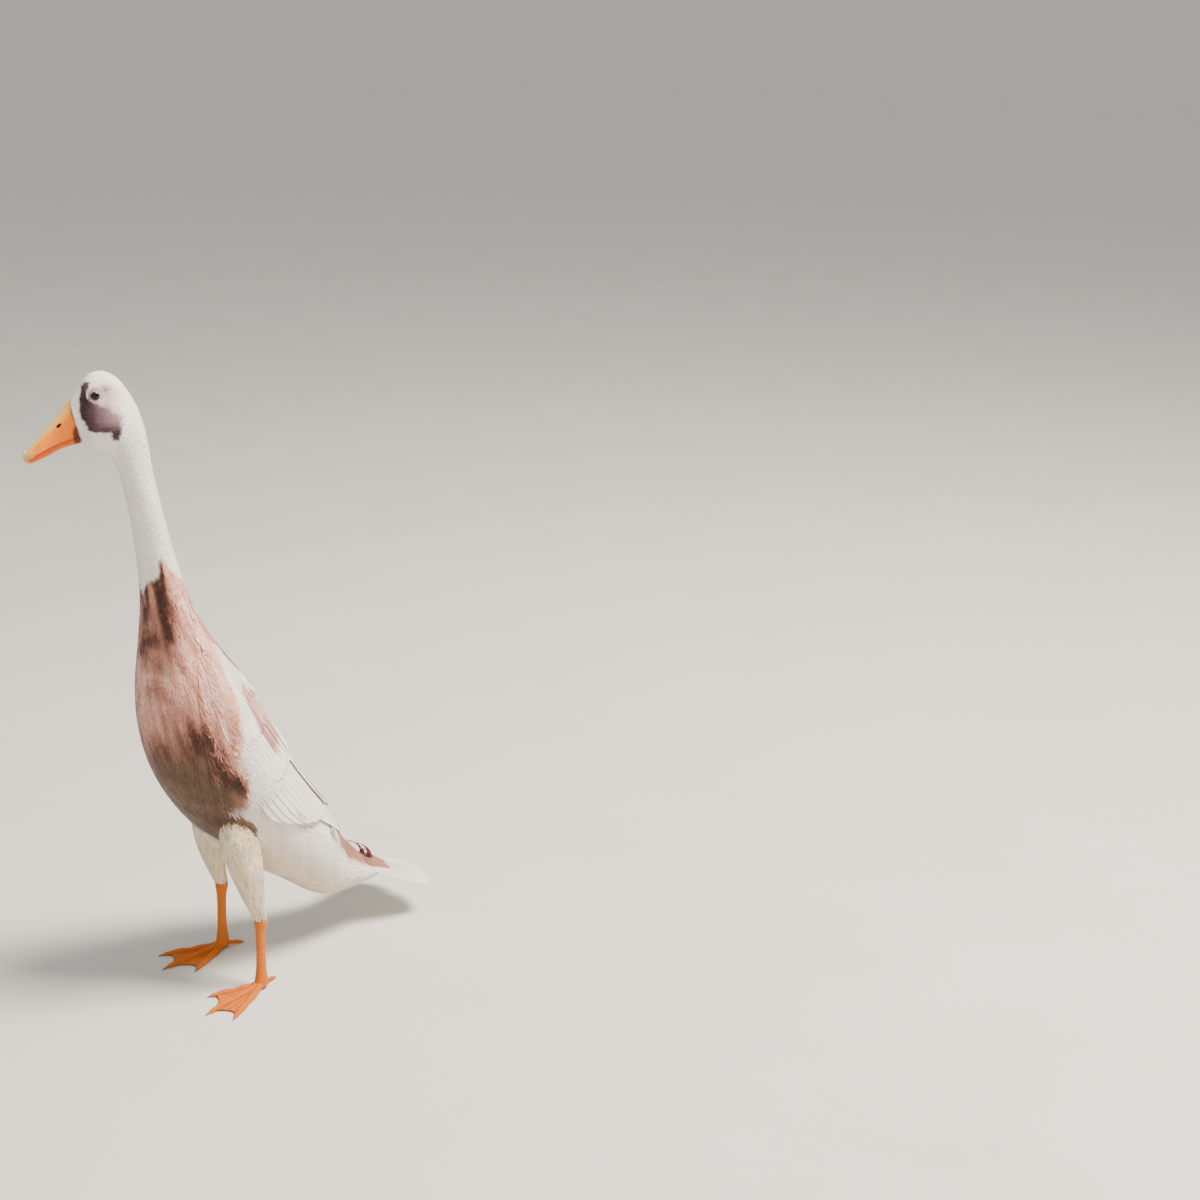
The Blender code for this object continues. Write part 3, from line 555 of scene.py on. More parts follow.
def scatter(surface, start, end, spacing, seed):
    """Root places spread evenly over a surface, in staggered rows: (section, turn) pairs."""
    random = np.random.default_rng(seed)
    around = np.linspace(-math.pi, math.pi, 73)
    at, rows = start, []
    while at < end:
        lengthwise, sideways = slopes(surface, np.full(len(around), at), around)
        long, wide = np.linalg.norm(lengthwise, axis=-1), np.linalg.norm(sideways, axis=-1)
        count = max(6, round(2 * math.pi * wide.max() / spacing))
        turn = (np.arange(count) + 0.5 * (len(rows) % 2) + random.uniform(-0.3, 0.3, count)) / count
        turn = turn * 2 * math.pi - math.pi
        space = np.interp(turn, around, long / long.max()) * np.interp(turn, around, wide / wide.max())
        stays = random.random(count) < space
        reach = spacing / long.max()
        rows.append(np.stack([at + random.uniform(-0.3, 0.3, count) * reach, turn], -1)[stays])
        at += reach
    return np.concatenate(rows)


def with_edges(values):
    """Values across feathers' tops, then those of the two edges again for the flat undersides."""
    return np.concatenate([values, values[:, :, [0, -1]]], 2)


def feather_points(surface, roots, length, half_width, low, high, shape, way, bend):
    """The points of many feathers that lie along a surface: top points, then the two edges again.

    Lengths, half widths and heights are in metres, for each feather. shape is pairs of station and
    share of the full width. way turns a feather to the left of the lie, and bend does so to its tip.
    """
    stations, widths = np.transpose(shape)
    count = len(roots)
    length, half_width, low, high, way, bend = (
        np.broadcast_to(np.asarray(v, float), count)[:, None, None]
        for v in (length, half_width, low, high, way, bend)
    )
    root_at, root_turn = roots[:, 0], roots[:, 1]
    lengthwise, sideways = slopes(surface, root_at, root_turn)
    per_section = np.linalg.norm(lengthwise, axis=-1)[:, None, None]
    per_turn = np.linalg.norm(sideways, axis=-1)[:, None, None]
    along = stations[None, :, None]
    reach = half_width * widths[None, :, None] * np.linspace(-1, 1, ACROSS)
    heading = way + bend * along
    ahead = length * along
    at = root_at[:, None, None] - (ahead * np.cos(heading) - reach * np.sin(heading)) / per_section
    turn = root_turn[:, None, None] + (ahead * np.sin(heading) + reach * np.cos(heading)) / per_turn
    height = low + (high - low) * along**0.75 - CAMBER * reach * reach / half_width
    top = surface(at, turn, height)
    return with_edges(top), at, turn, with_edges(np.broadcast_to(height, top.shape[:3]))


def feather_faces(count, stations, across):
    """Faces of count closed feathers, each a domed top over a flat underside."""
    step = across + 2
    grid = np.arange(stations * step).reshape(stations, step)
    quads = [
        (grid[s, k], grid[s, k + 1], grid[s + 1, k + 1], grid[s + 1, k])
        for s in range(stations - 1)
        for k in range(across - 1)
    ]
    left, right = across, across + 1
    quads += [
        (grid[s, right], grid[s, left], grid[s + 1, left], grid[s + 1, right]) for s in range(stations - 1)
    ]
    ends = [tuple(grid[0, :across])[::-1], tuple(grid[-1, :across])]
    shift = (np.arange(count) * stations * step)[:, None, None]
    quads = (np.array(quads)[None] + shift).reshape(-1, 4).tolist()
    ends = (np.array(ends)[None] + shift).reshape(-1, across).tolist()
    return quads + ends


# left and right side of each strip on the unwrap, and its number of sections
BODY_STRIP = (0.0, 0.8, 25.0)
STRIPS = {"thigh_feathers_left": (0.81, 0.90, 5.0), "thigh_feathers_right": (0.91, 1.0, 5.0)}


def unwrap_spots(at, turn, stations, across, strip):
    """Each feather's patch at its root's place on the unwrap: round the body across, along it upwards."""
    local_u = np.concatenate([np.linspace(-0.5, 0.5, across), [-0.5, 0.5]])
    local_v = np.linspace(0.5, -0.5, stations)
    start, end, sections = strip
    share = (turn / (2 * math.pi)) % 1
    u = start + PATCH + share[:, None, None] * (end - start - 2 * PATCH) + PATCH * local_u
    v = PATCH + (at / sections)[:, None, None] * (1 - 2 * PATCH) + PATCH * local_v[None, :, None]
    u, v = np.broadcast_arrays(u, v)
    return np.clip(np.stack([u, v], -1), 0, 1)


COVERT = [(0.0, 0.45), (0.3, 0.85), (0.58, 1.0), (0.78, 0.93), (0.9, 0.7), (0.965, 0.44), (1.0, 0.16)]
WISP = [(0.0, 0.7), (0.4, 1.0), (0.75, 0.75), (1.0, 0.08)]
MOST = 190_000  # triangles a piece
SUNK = 0.25 * MM  # how far feathers may sink into the coat where the thighs join the body
WHITES, FAWN_SLOT = "white_feathers", "fawn_feathers"
BRIGHTEST = 0.97  # no feather throws back more of the light


def vanes(length, half_width, shape, across, seed, count):
    """Feathers' points on their own feather in mm: across the shaft, along it, and a number."""
    stations, widths = np.transpose(shape)
    spread = np.concatenate([np.linspace(-1, 1, across), [-1, 1]])
    length, half_width = (
        np.broadcast_to(np.asarray(v, float), count)[:, None, None] / MM for v in (length, half_width)
    )
    own = np.random.default_rng(seed).uniform(0, 200, count)[:, None, None]
    aside, along = half_width * widths[:, None] * spread, length * stations[:, None]
    return np.stack(np.broadcast_arrays(aside, along, own), -1)


def coat_piece(name, points, at, turn, tints, vane, slot=WHITES):
    """Joined feathers as one or more pieces under the limit of triangles."""
    count, stations, step = points.shape[:3]
    across = step - 2
    each = (stations - 1) * 2 * across + 2 * (across - 2)
    most = MOST // each
    parts = math.ceil(count / most)
    spots = unwrap_spots(at, turn, stations, across, STRIPS.get(name, BODY_STRIP))
    made = []
    for part in range(parts):
        chosen = slice(part * count // parts, (part + 1) * count // parts)
        faces = feather_faces(len(points[chosen]), stations, across)
        label = name if parts == 1 else f"{name}_{part + 1}"
        layers = (values[chosen] for values in (tints, spots, vane))
        made.append(mesh_piece(label, points[chosen], faces, feather_finish, *layers))
    return made


def feather_tints(colours, shape, seed, edge, spread):
    """Colours of small feathers' points: a little lighter at the tip and edges, each feather its own."""
    random = np.random.default_rng(seed)
    stations = np.transpose(shape)[0][:, None]
    local = np.abs(np.concatenate([np.linspace(-1, 1, ACROSS), [-1, 1]]))
    own = random.normal(0, spread, (len(colours), 1, 1))
    # painted light and shade: lighter at the tip and edges, darker towards the root, which the feathers above
    # cover
    light = 1 + own + edge * (local - 0.5) + edge * (stations - 0.6)
    return np.clip(colours * light[..., None], 0, BRIGHTEST)


def under_wing(at, turn):
    share = wing_share(at, turn)
    return (share > 0.04) & (share < 0.96) & (at > 4.4) & (at < 10.6)


skin_tree = BVHTree.FromPolygons(
    [vertex.co[:] for vertex in skin.data.vertices], [face.vertices[:] for face in skin.data.polygons]
)
NEAR_THIGHS = np.array([-0.075, -0.06, 0.09]), np.array([0.075, 0.075, 0.19])  # a box round their roots


def off_skin(points, height):
    """The points, those near the thighs' roots moved out to at least the given heights over the skin."""
    low, high = NEAR_THIGHS
    chosen = np.argwhere(((points > low) & (points < high)).all(-1))
    points = points.copy()
    for index in map(tuple, chosen):
        place = Vector(points[index] + PLACE)
        spot, normal, _, away = skin_tree.find_nearest(place)
        short = height[index] - (place - spot).dot(normal)
        if 0 < short < 0.02:
            points[index] += np.array(normal) * short
    return points


def coat(
    name, surface, roots, size, height, shape, seed, loose=1.0, tone=None, spread=0.03, edge=0.06, slot=WHITES
):
    """A coat of small feathers at the given roots, coloured by the bird's markings unless a tone is given.

    size is their length and half width, and height that of their roots and tips, all in metres. loose
    says how untidily they lie, spread how much their tones differ, and edge how light their edges are.
    """
    random = np.random.default_rng(seed)
    way, bend = (loose * random.normal(0, angle, len(roots)) for angle in (0.09, 0.12))
    points, at, turn, rise = feather_points(surface, roots, *size, *height, shape, way, bend)
    if surface is body:
        points = off_skin(points, rise + coat_depth(roots[:, 0])[:, None, None] - SUNK)
    elif name.startswith("thigh"):
        points = off_skin(points, rise + THIGH_DEPTH * MM - SUNK)
    if tone is None:
        spots = body_colour(at, turn)
        own = spots[:, len(shape) * 2 // 3, 1][:, None, None]
        colours = 0.5 * own + 0.5 * with_edges(spots)
    else:
        colours = tone[:, None, None]
    tints = feather_tints(colours, shape, seed + 1, edge, spread)
    vane = vanes(*size, shape, ACROSS, seed + 2, len(roots))
    if shape is WISP:
        vane[..., 0] += 2  # a wisp is one loose barb, so it has no shaft line
    return coat_piece(name, points, roots[:, 0], roots[:, 1], tints, vane, slot)


def bare_round_eyes(at, turn):
    away = np.linalg.norm(plain_body(at, turn)[:, 1:] - CM * np.array([-EYE_AT[0], EYE_AT[1]]), axis=-1)
    return (away <= 4.9 * MM) & (np.abs(np.sin(turn)) >= 0.5)


# name; seeds; first and last section and spacing in mm; sizes along the sections; sizes' own spread;
# length, half width and tip heights in mm; root depth as a share of the coat's; where none grow; looks
COATS = [
    ("body_feathers", (12, 11, 13), (0.1, 13.4, 4.7),
     ([0, 1.5, 3.5, 9, 12, 13.4], [0.75, 0.95, 1.15, 1.0, 0.66, 0.45]), (0.9, 1.12),
     (15, 4.9, -0.57, -0.33), 0.9, under_wing, (COVERT, 1.0, 0.05, 0.06, FAWN_SLOT)),
    ("body_barbs", (21, 22, 23), (0.1, 13.3, 2.05),
     ([0, 3, 9, 12, 13.4], [1.3, 1.2, 1.0, 0.85, 0.75]), (0.75, 1.25),
     (8.5, 0.5, -0.32, -0.02), 0.42, under_wing, (WISP, 1.2, 0.045, 0.03, FAWN_SLOT)),
    ("neck_feathers", (31, 32, 33), (12.8, 18.6, 1.32), ([13, 17, 18.6], [1.1, 0.85, 0.6]), (0.8, 1.2),
     (8, 0.98, -0.18, 0.04), 0.8, None, (WISP, 0.8, 0.03, 0.03, WHITES)),
    ("head_feathers", (41, 42, 43), (18.2, 25.0, 0.88), ([18.2, 21, 25], [1.25, 1.0, 0.6]), (0.8, 1.2),
     (3.9, 0.66, -0.2, 0.03), 0.8, bare_round_eyes, (WISP, 0.9, 0.04, 0.03, WHITES)),
]
for name, seeds, (*ends, gap), sizes, own, (long, wide, *tips), deep, bare, looks in COATS:
    roots = scatter(plain_body, *ends, gap * MM, seeds[0])
    if bare:
        roots = roots[~bare(*roots.T)]
    random = np.random.default_rng(seeds[1])
    scale = np.interp(roots[:, 0], *sizes) * random.uniform(*own, len(roots))
    height = -deep * coat_depth(roots[:, 0]), random.uniform(*tips, len(roots)) * MM
    shape, loose, spread, edge, slot = looks
    size = long * MM * scale, wide * MM * scale
    coat(name, body, roots, size, height, shape, seeds[2], loose, None, spread, edge, slot)

for word, side in SIDES.items():
    surface = limb(THIGH, side)
    roots = scatter(surface, 0.22, 4.9, 1.9 * MM, 51 + side)
    random = np.random.default_rng(52 + side)
    scale = np.interp(roots[:, 0], [0.2, 1.5, 5], [0.5, 0.85, 1.15]) * random.uniform(0.8, 1.2, len(roots))
    size = 9.5 * MM * scale, 0.95 * MM * scale
    height = -MM * np.interp(roots[:, 0], [0, 1], [0.3, 0.9]), random.uniform(-0.2, 0.05, len(roots)) * MM
    where = surface(*roots.T) * [1, 1, 0.25]  # so that the streaks run down the thigh
    cream = 0.78 + 0.3 * drift(where, 0.008, 57) + random.uniform(-0.2, 0.2, len(roots))
    # greyish streaks on the thighs: partly soiled feathers, partly painted shade
    streaks = 0.30 * np.clip(drift(where, 0.006, 58), 0, 1) * np.interp(roots[:, 0], [1, 3], [0.3, 1])
    tone = blend(blend(WHITE, CREAM, cream), SHADE_AND_SOIL_FAWN, streaks)
    near, away = trunk_colour(surface(*(roots - [0.4, 0]).T) + PLACE)
    tone = blend(tone, near, 1.5 - away / (6 * MM) + random.uniform(-0.5, 0.5, len(roots)))
    coat(f"thigh_feathers_{word}", surface, roots, size, height, WISP, 53 + side, tone=tone)

# Wings: folded flat on the flanks, in tiers of stiff feathers that each lie under the one nearer
# the back: the long primaries, the secondaries, the tertials, then greater and median coverts over
# their roots, with soft scapulars along the back. Each is a thin horny vane on either side of a shaft.
QUILL = [  # share of the length and of the full width
    (0.0, 0.5), (0.12, 0.68), (0.3, 0.9), (0.5, 1.0), (0.68, 0.99), (0.8, 0.9), (0.88, 0.76), (0.94, 0.56),
    (0.98, 0.34), (1.0, 0.12),
]
# name, count, roots and tips as section and degrees; then tip height and half width in cm, lean, and
# each tip's drop and the roots' depth in cm
WING_ROWS = [
    ("primaries", 8, [(6.6, 30), (6.3, 48), (6.2, 66)], [(3.85, 15), (3.3, 16), (2.85, 18)],
     0.36, 0.62, 0.05, 0.042, 0.12),
    ("secondaries", 9, [(8.1, 50), (7.9, 70), (7.6, 90)], [(4.95, 42), (5.3, 66), (6.1, 93)],
     0.36, 0.80, 0.14, 0.0, 0.12),
    ("tertials", 4, [(8.3, 20), (8.2, 33), (8.1, 46)], [(4.3, 12), (4.7, 23), (5.2, 35)],
     0.44, 0.92, 0.14, 0.0, 0.12),
    ("greater_coverts", 10, [(9.3, 50), (9.2, 69), (9.0, 88)], [(7.0, 46), (7.0, 70), (7.3, 93)],
     0.50, 0.72, 0.16, 0.0, 0.12),
    ("median_coverts", 11, [(9.9, 44), (9.9, 62), (9.7, 85)], [(8.25, 40), (8.2, 66), (8.4, 91)],
     0.56, 0.60, 0.16, 0.0, 0.10),
    ("lower_scapulars", 7, [(10.0, 18), (9.9, 36), (9.6, 54)], [(7.2, 16), (7.1, 35), (7.6, 60)],
     0.60, 0.72, 0.14, 0.0, 0.10),
    ("upper_scapulars", 7, [(11.2, 14), (11.2, 32), (10.8, 50)], [(8.9, 14), (8.8, 34), (9.1, 57)],
     0.62, 0.66, 0.14, 0.0, 0.10),
]


QUILL_ALONG = np.transpose(QUILL)[0][:, None, None]
QUILL_ASIDE = np.concatenate([np.linspace(-1, 1, QUILL_ACROSS), [-1, 1]])[:, None]


def shaft_line(depth):
    """How much darker a quill feather is along its shaft, at each of its points."""
    return depth * np.exp(-((QUILL_ASIDE / 0.2) ** 2))


def quill_feathers(count, roots, tips, tip_height, half_width, lean, drop, root_depth, side):
    """Points of a row of stiff feathers on one flank, and the places that they cover."""
    share = np.linspace(0, 1, count)
    root = spline(roots, share * (len(roots) - 1))
    tip = spline(tips, share * (len(tips) - 1))
    stations, widths = np.transpose(QUILL)
    line = root[:, None] + (tip - root)[:, None] * stations[None, :, None]
    at, angle = line[..., 0], np.radians(line[..., 1])
    lengthwise, sideways = slopes(plain_body, at, angle)
    per_section, per_turn = np.linalg.norm(lengthwise, axis=-1), np.linalg.norm(sideways, axis=-1)
    way = (tip - root)[:, None]
    run = np.stack([way[..., 0] * per_section, np.radians(way[..., 1]) * per_turn], -1)
    run /= np.linalg.norm(run, axis=-1, keepdims=True)
    across = np.linspace(-1, 1, QUILL_ACROSS)
    reach = CM * half_width * widths[None, :, None] * across
    at = at[..., None] + run[..., 1:] * reach / per_section[..., None]
    angle = angle[..., None] - run[..., :1] * reach / per_turn[..., None]
    start = wing_rise(root[:, 0], np.radians(root[:, 1])) * np.interp(share, [0.7, 1], [1, 0.75])
    start = (start - CM * root_depth)[:, None, None]
    end = CM * (tip_height - drop * np.arange(count)) * np.interp(share, [0.6, 1], [1, 0.48])
    height = start + (end[:, None, None] - start) * stations[None, :, None] ** 0.8 + lean * reach
    height = height + 0.25 * MM * np.exp(-((across / 0.16) ** 2)) - 0.5 * MM * across**2  # shaft and dome
    top = body(at, angle * side, height + WING_OFF)
    lengths = MM * SECTION_MM * np.abs(tip - root)[:, 0]
    vane = vanes(lengths, CM * half_width, QUILL, QUILL_ACROSS, 7, count)
    return with_edges(top), with_edges(at), with_edges(angle * side), vane


SCAPULAR_PATCH = [  # outline, section and degrees
    (9.35, 50), (8.9, 58), (8.4, 61), (7.9, 61), (7.5, 58), (7.5, 48), (7.9, 36), (8.4, 31), (8.9, 38),
]
FLECKS = [(5.44, 35, 2.2), (5.87, 78, 1.8), (4.4, 84, 2.2), (5.3, 28, 1.5)]  # section, degrees, radius in mm
FLECK_BROWN = colour("#6B4A3C")


def wing_colour(at, angle):
    """White wings, fawn by the mantle, a fawn patch on the scapulars with a painted shadow along its lower
    edge, and a few dark flecks.
    """
    degrees = np.abs(np.degrees(angle))
    where = plain_body(at, angle)
    made = blend(WHITE, CREAM, 0.10 + 0.10 * drift(where, 0.02, 62))
    made = blend(made, body_colour(at, angle), (at - 6.6) / 0.4)
    tone = blend(FAWNS[1], FAWNS[2], 0.45 + 0.5 * drift(where, 0.008, 61))
    ragged = 1.6 * np.stack([drift(where, 0.007, 63), drift(where, 0.007, 64)], -1)
    plane = np.stack([at * SECTION_MM, degrees * DEGREE_MM], -1) + ragged
    within = inside(plane, np.array(SCAPULAR_PATCH) * [SECTION_MM, DEGREE_MM])
    made = blend(made, tone, 0.9 * np.clip(0.5 + within / 3, 0, 1))
    # painted shadow: the fawn patch is darker along its lower edge, under the scapulars
    scapular_shadow = np.exp(-((within - 1.5) / 2.6) ** 2) * np.clip((degrees - 50) / 8, 0, 1)
    made = blend(made, FAWNS[3], 0.7 * scapular_shadow)
    for fleck_at, fleck_turn, size in FLECKS:
        away = np.hypot((at - fleck_at) * 12, (degrees - fleck_turn) * DEGREE_MM) / size
        made = blend(made, FLECK_BROWN, 0.75 * np.exp(-away * away))
    return made


def wing_hump(at, turn, out=0.0):
    """The plumage's surface over the folded wing, with soft shoulders at the wing's edges."""
    rows = np.array([(11.5, 50, 66, 0.0), *WING_CORE, (4.6, 15, 70, 0.0)])[::-1]
    share = wing_share(at, turn)
    ramp = np.clip((share + 0.12) / 0.3, 0, 1) * np.clip((1.14 - share) / 0.3, 0, 1)
    thick = CM * np.interp(at, rows[:, 0], rows[:, 3])
    return body(at, turn, out + WING_OFF + thick * smooth_step(ramp))


# small feathers of the wing's shoulder and lower edge: name; sections and spacing in mm; seed; shares
# of the wing; sizes' own spread; heights in mm across the wing; the tips' own spread; length, half
# width and root depth in mm; shape; how far back the colour is taken; spread of tones. The lowest are
# tucked into the breast's coat, so that no edge stands up there.
SHOULDER = [
    ("lesser_coverts", (7.2, 11.4, 2.6), 71, (-0.05, 1.25), (0.85, 1.15),
     ([0.6, 0.8, 0.95, 1.2], [0.9, 2.4, 2.2, -0.4]), None, (10.5, 2.5, 1.6), COVERT, 0.3, 0.03),
    ("covert_barbs", (7.0, 11.7, 1.9), 75, (-0.1, 1.35), (0.75, 1.25),
     ([0.6, 0.8, 0.95, 1.25], [1.1, 2.6, 2.4, -0.15]), (-0.1, 0.18), (8.5, 0.5, 0.9), WISP, 0.2, 0.035),
]
for word, side in SIDES.items():
    pieces = []
    for name, *row in WING_ROWS:
        points, at, angle, vane = quill_feathers(*row, side)
        random = np.random.default_rng(60)
        light = 1 + random.normal(0, 0.02, (len(points), 1, 1, 1))
        # painted shade: each quill is darker towards its root, where the feather above covers it, and a
        # little lighter at its edges; the darker shaft is its own colour
        light = light * (1 - shaft_line(0.10) - 0.10 * (1 - QUILL_ALONG) + 0.03 * QUILL_ASIDE**2)
        tints = np.clip(wing_colour(at, angle) * light, 0, BRIGHTEST)
        pieces += coat_piece(f"{name}_{word}", points, at[:, 0, 3], angle[:, 0, 3], tints, vane)
    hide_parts(f"wing_{word}")

    for name, reach, seed, shares, own, heights, rough, size, shape, back, spread in SHOULDER:
        (*ends, gap), (first, last), (long, wide, deep) = reach, shares, size
        roots = scatter(plain_body, *ends, gap * MM, seed)
        share = wing_share(*roots.T)
        grows = (share > first) & (share < last) & ((roots[:, 0] > 8.9) | (share > 0.7))
        roots = roots[grows & (np.sign(roots[:, 1]) == side)]
        random = np.random.default_rng(seed + 1)
        scale = random.uniform(*own, len(roots))
        high = np.interp(roots[:, 0], [9.6, 11.2], [1, 0.2]) * np.interp(wing_share(*roots.T), *heights)
        if rough:
            high = high + random.uniform(*rough, len(roots))
        size, height = (long * MM * scale, wide * MM * scale), (high * MM - deep * MM, high * MM)
        tone = wing_colour(*(roots - [back, 0]).T)
        coat(f"{name}_{word}", wing_hump, roots, size, height, shape, seed + 2, tone=tone, spread=spread)

# Tail: a fan of stiff feathers that overlap outwards from the middle pair, from the fleshy root,
# with a drake's three curled feathers on top. They are horny vanes like those of the wings.
TAIL_FROM = (-11.9, 6.9)  # forward and height of the middle feathers' roots, in cm
TAIL_COUNT, TAIL_LENGTH, TAIL_SPREAD = 16, 9.2, math.radians(17)
CURLS = [(0.05, 1.0, 0.1), (0.42, 0.74, 0.6), (-0.4, 0.86, -0.55)]  # place to the left, radius, splay, in cm


def tail_point(back, across, rise):
    """A point of the tail's fan, by how far back, to the left and above it is, in cm."""
    forward = TAIL_FROM[0] - back * math.cos(TAIL_SLOPE) - rise * math.sin(TAIL_SLOPE)
    height = TAIL_FROM[1] + back * math.sin(TAIL_SLOPE) + rise * math.cos(TAIL_SLOPE)
    return CM * to_world(forward, height, across)


stations, widths = np.transpose(QUILL)
across = np.linspace(-1, 1, QUILL_ACROSS)
number = np.arange(TAIL_COUNT)
side = np.where(number % 2 == 0, LEFT, RIGHT)[:, None, None]
place = number // 2
outward = ((place + 0.45) / (TAIL_COUNT / 2 - 0.5))[:, None, None]
along = stations[None, :, None]
reach = 0.8 * widths[None, :, None] * across
length = TAIL_LENGTH * (1 - 0.16 * outward**2)
heading = TAIL_SPREAD * outward
back = along * length * np.cos(heading) - reach * np.sin(heading)
aside = 0.25 + 1.55 * outward + along * length * np.sin(heading) + reach * np.cos(heading)
lift = 0.45 - 0.042 * (2 * place[:, None, None] + (side == RIGHT)) - 0.035 * aside * np.abs(aside)
lift = lift + 0.025 * np.exp(-((across / 0.16) ** 2)) - 0.04 * across**2
points = with_edges(tail_point(back, side * aside, lift))
random = np.random.default_rng(81)
fawn = random.uniform(0.15, 0.6, TAIL_COUNT) * (place < 5)
fawn = fawn[:, None, None] * (1 - stations[:, None]) ** 0.7 * (1 - 0.6 * QUILL_ASIDE[:, 0] ** 2)
tints = blend(WHITE, FAWNS[2], fawn)
# painted shade: each tail feather is darker towards its covered root and a little lighter at its edges; the
# darker shaft is its own colour
tints = tints * (1 - 0.08 * (1 - QUILL_ALONG) - shaft_line(0.09) + 0.02 * QUILL_ASIDE**2)
vane = vanes(CM * length[:, 0, 0], 0.85 * CM, QUILL, QUILL_ACROSS, 82, TAIL_COUNT)
spots = np.full(TAIL_COUNT, 1.0), np.linspace(-1, 1, TAIL_COUNT)
fan = coat_piece("tail_feathers", points, *spots, tints, vane)[0]
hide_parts("tail")

steps = np.linspace(0, 1, 40)
for curl, (aside, radius, splay) in enumerate(CURLS):
    roll = math.radians(250)
    curl_share = np.clip((steps - 0.35) / 0.65, 0, 1)
    heading = math.radians(-30) + curl_share**1.25 * roll
    pace = np.where(steps < 0.35, 3.2, radius * roll / 0.65 * (1.15 - 0.35 * curl_share)) / 39
    back = 1.0 + np.concatenate([[0], np.cumsum(np.cos(heading[:-1]) * pace[:-1])])
    rise = 1.35 + np.concatenate([[0], np.cumsum(np.sin(heading[:-1]) * pace[:-1])])
    taper = np.interp(steps, [0, 0.2, 0.5, 0.8, 0.93, 1], [0.5, 0.85, 1, 0.8, 0.5, 0.1])
    width = 0.43 * taper[:, None] * across
    dome = 0.03 - 0.16 * (across**2)
    top = tail_point(
        back[:, None] - np.sin(heading)[:, None] * dome,
        aside + splay * steps[:, None] ** 1.5 + width,
        rise[:, None] + np.cos(heading)[:, None] * dome,
    )
    top = with_edges(top[None])
    tints = np.broadcast_to(blend(FAWNS[2], FAWNS[3], np.array(0.15 + 0.15 * curl)), top.shape)
    tints = tints * (1 - shaft_line(0.25))
    vane = vanes(6 * CM, 0.5 * CM, np.stack([steps, taper], -1), QUILL_ACROSS, curl, 1)
    coat_piece(f"curled_feather_{curl + 1}", top, np.array([2.0]), np.array([0.1 * curl]), tints, vane)

# rows of coverts over and under the fan: name, count, root and length, half width, spread, lift, in cm
TAIL_COVERTS = [
    ("upper_tail_coverts", 11, 4.4, 3.0, 0.50, 1.75, 0.07),
    ("upper_tail_coverts", 12, 3.7, 2.8, 0.48, 1.85, 0.12),
    ("upper_tail_coverts", 13, 3.0, 2.6, 0.46, 1.95, 0.17),
    ("upper_tail_coverts", 14, 2.3, 2.4, 0.44, 2.0, 0.22),
    ("under_tail_coverts", 9, 3.6, 3.6, 0.62, 1.7, -0.08),
    ("under_tail_coverts", 10, 2.6, 3.2, 0.62, 1.8, -0.16),
]
for row, (name, count, root, length, half_width, spread, lift) in enumerate(TAIL_COVERTS):
    random = np.random.default_rng(95 + row)
    place = (np.linspace(-1, 1, count) + random.uniform(-0.05, 0.05, count))[:, None, None]
    long = length * (1 - 0.2 * place**2) * random.uniform(0.92, 1.06, (count, 1, 1))
    reach = half_width * widths[None, :, None] * across
    heading = place * 0.24
    back = root - 0.4 * place**2 + along * long * np.cos(heading) - reach * np.sin(heading)
    aside = spread * place + along * long * np.sin(heading) + reach * np.cos(heading)
    over = 0.45 - 0.24 * np.maximum(np.abs(aside) - 0.25, 0) if lift > 0 else -0.20
    top = over - 0.035 * aside * aside
    order = 0.04 * np.where(np.arange(count) % 2 == 0, 1, -1)[:, None, None] * np.sign(lift)
    rise = top + lift + order * (1 - 0.5 * along) + np.sign(lift) * (0.10 * (along - 0.7) - 0.05 * across**2)
    points = with_edges(tail_point(back, aside, rise))
    if lift > 0:
        fawn = np.clip((7.0 - back) / 2.6, 0, 1) * np.clip((2.3 - np.abs(aside)) / 0.8, 0, 1)
        fawn = fawn * random.uniform(0.6, 1.0, (count, 1, 1))
        tone = blend(FAWNS[2], FAWNS[1], (back - 4.5) / 2)
        tints = with_edges(blend(WHITE, tone, fawn))
    else:
        tints = blend(WHITE, CREAM, random.uniform(0, 0.6, count))[:, None, None]
    # painted shade: each covert is darker towards its covered root and lighter at its tip and edges; the
    # darker shaft is its own colour
    light = 1 - shaft_line(0.10) + 0.06 * QUILL_ASIDE**2 + 0.06 * (QUILL_ALONG - 0.5)
    tints = np.clip(tints * light, 0, 0.95)
    vane = vanes(CM * long[:, 0, 0], CM * half_width, QUILL, QUILL_ACROSS, 96 + row, count)
    coat_piece(f"{name}_{row + 1}", points, np.full(count, 1.5), np.linspace(-1, 1, count), tints, vane)

# Eyes: dark brown, almost black, wet balls deep in the head, each in a ring of bare lid skin with
# the face's small feathers up to its edge. The lens stands out a little from the ball.
# a wet cornea, as smooth and clear as glass, gives small sharp lights; the iris has fibres 0.4 mm apart
eye_finish, nodes, shader = new_material("wet eye", Roughness=0.05, IOR=1.376, Specular_IOR_Level=0.5)
fibres = add(nodes, "ShaderNodeTexNoise", {"Scale": 2400.0, "Detail": 2.0})
shade = add(nodes, "ShaderNodeMapRange", {"Value": fibres.outputs["Fac"], "To Min": 0.6, "To Max": 1.3})
colour_and_relief(nodes, shader, shade.outputs["Result"])
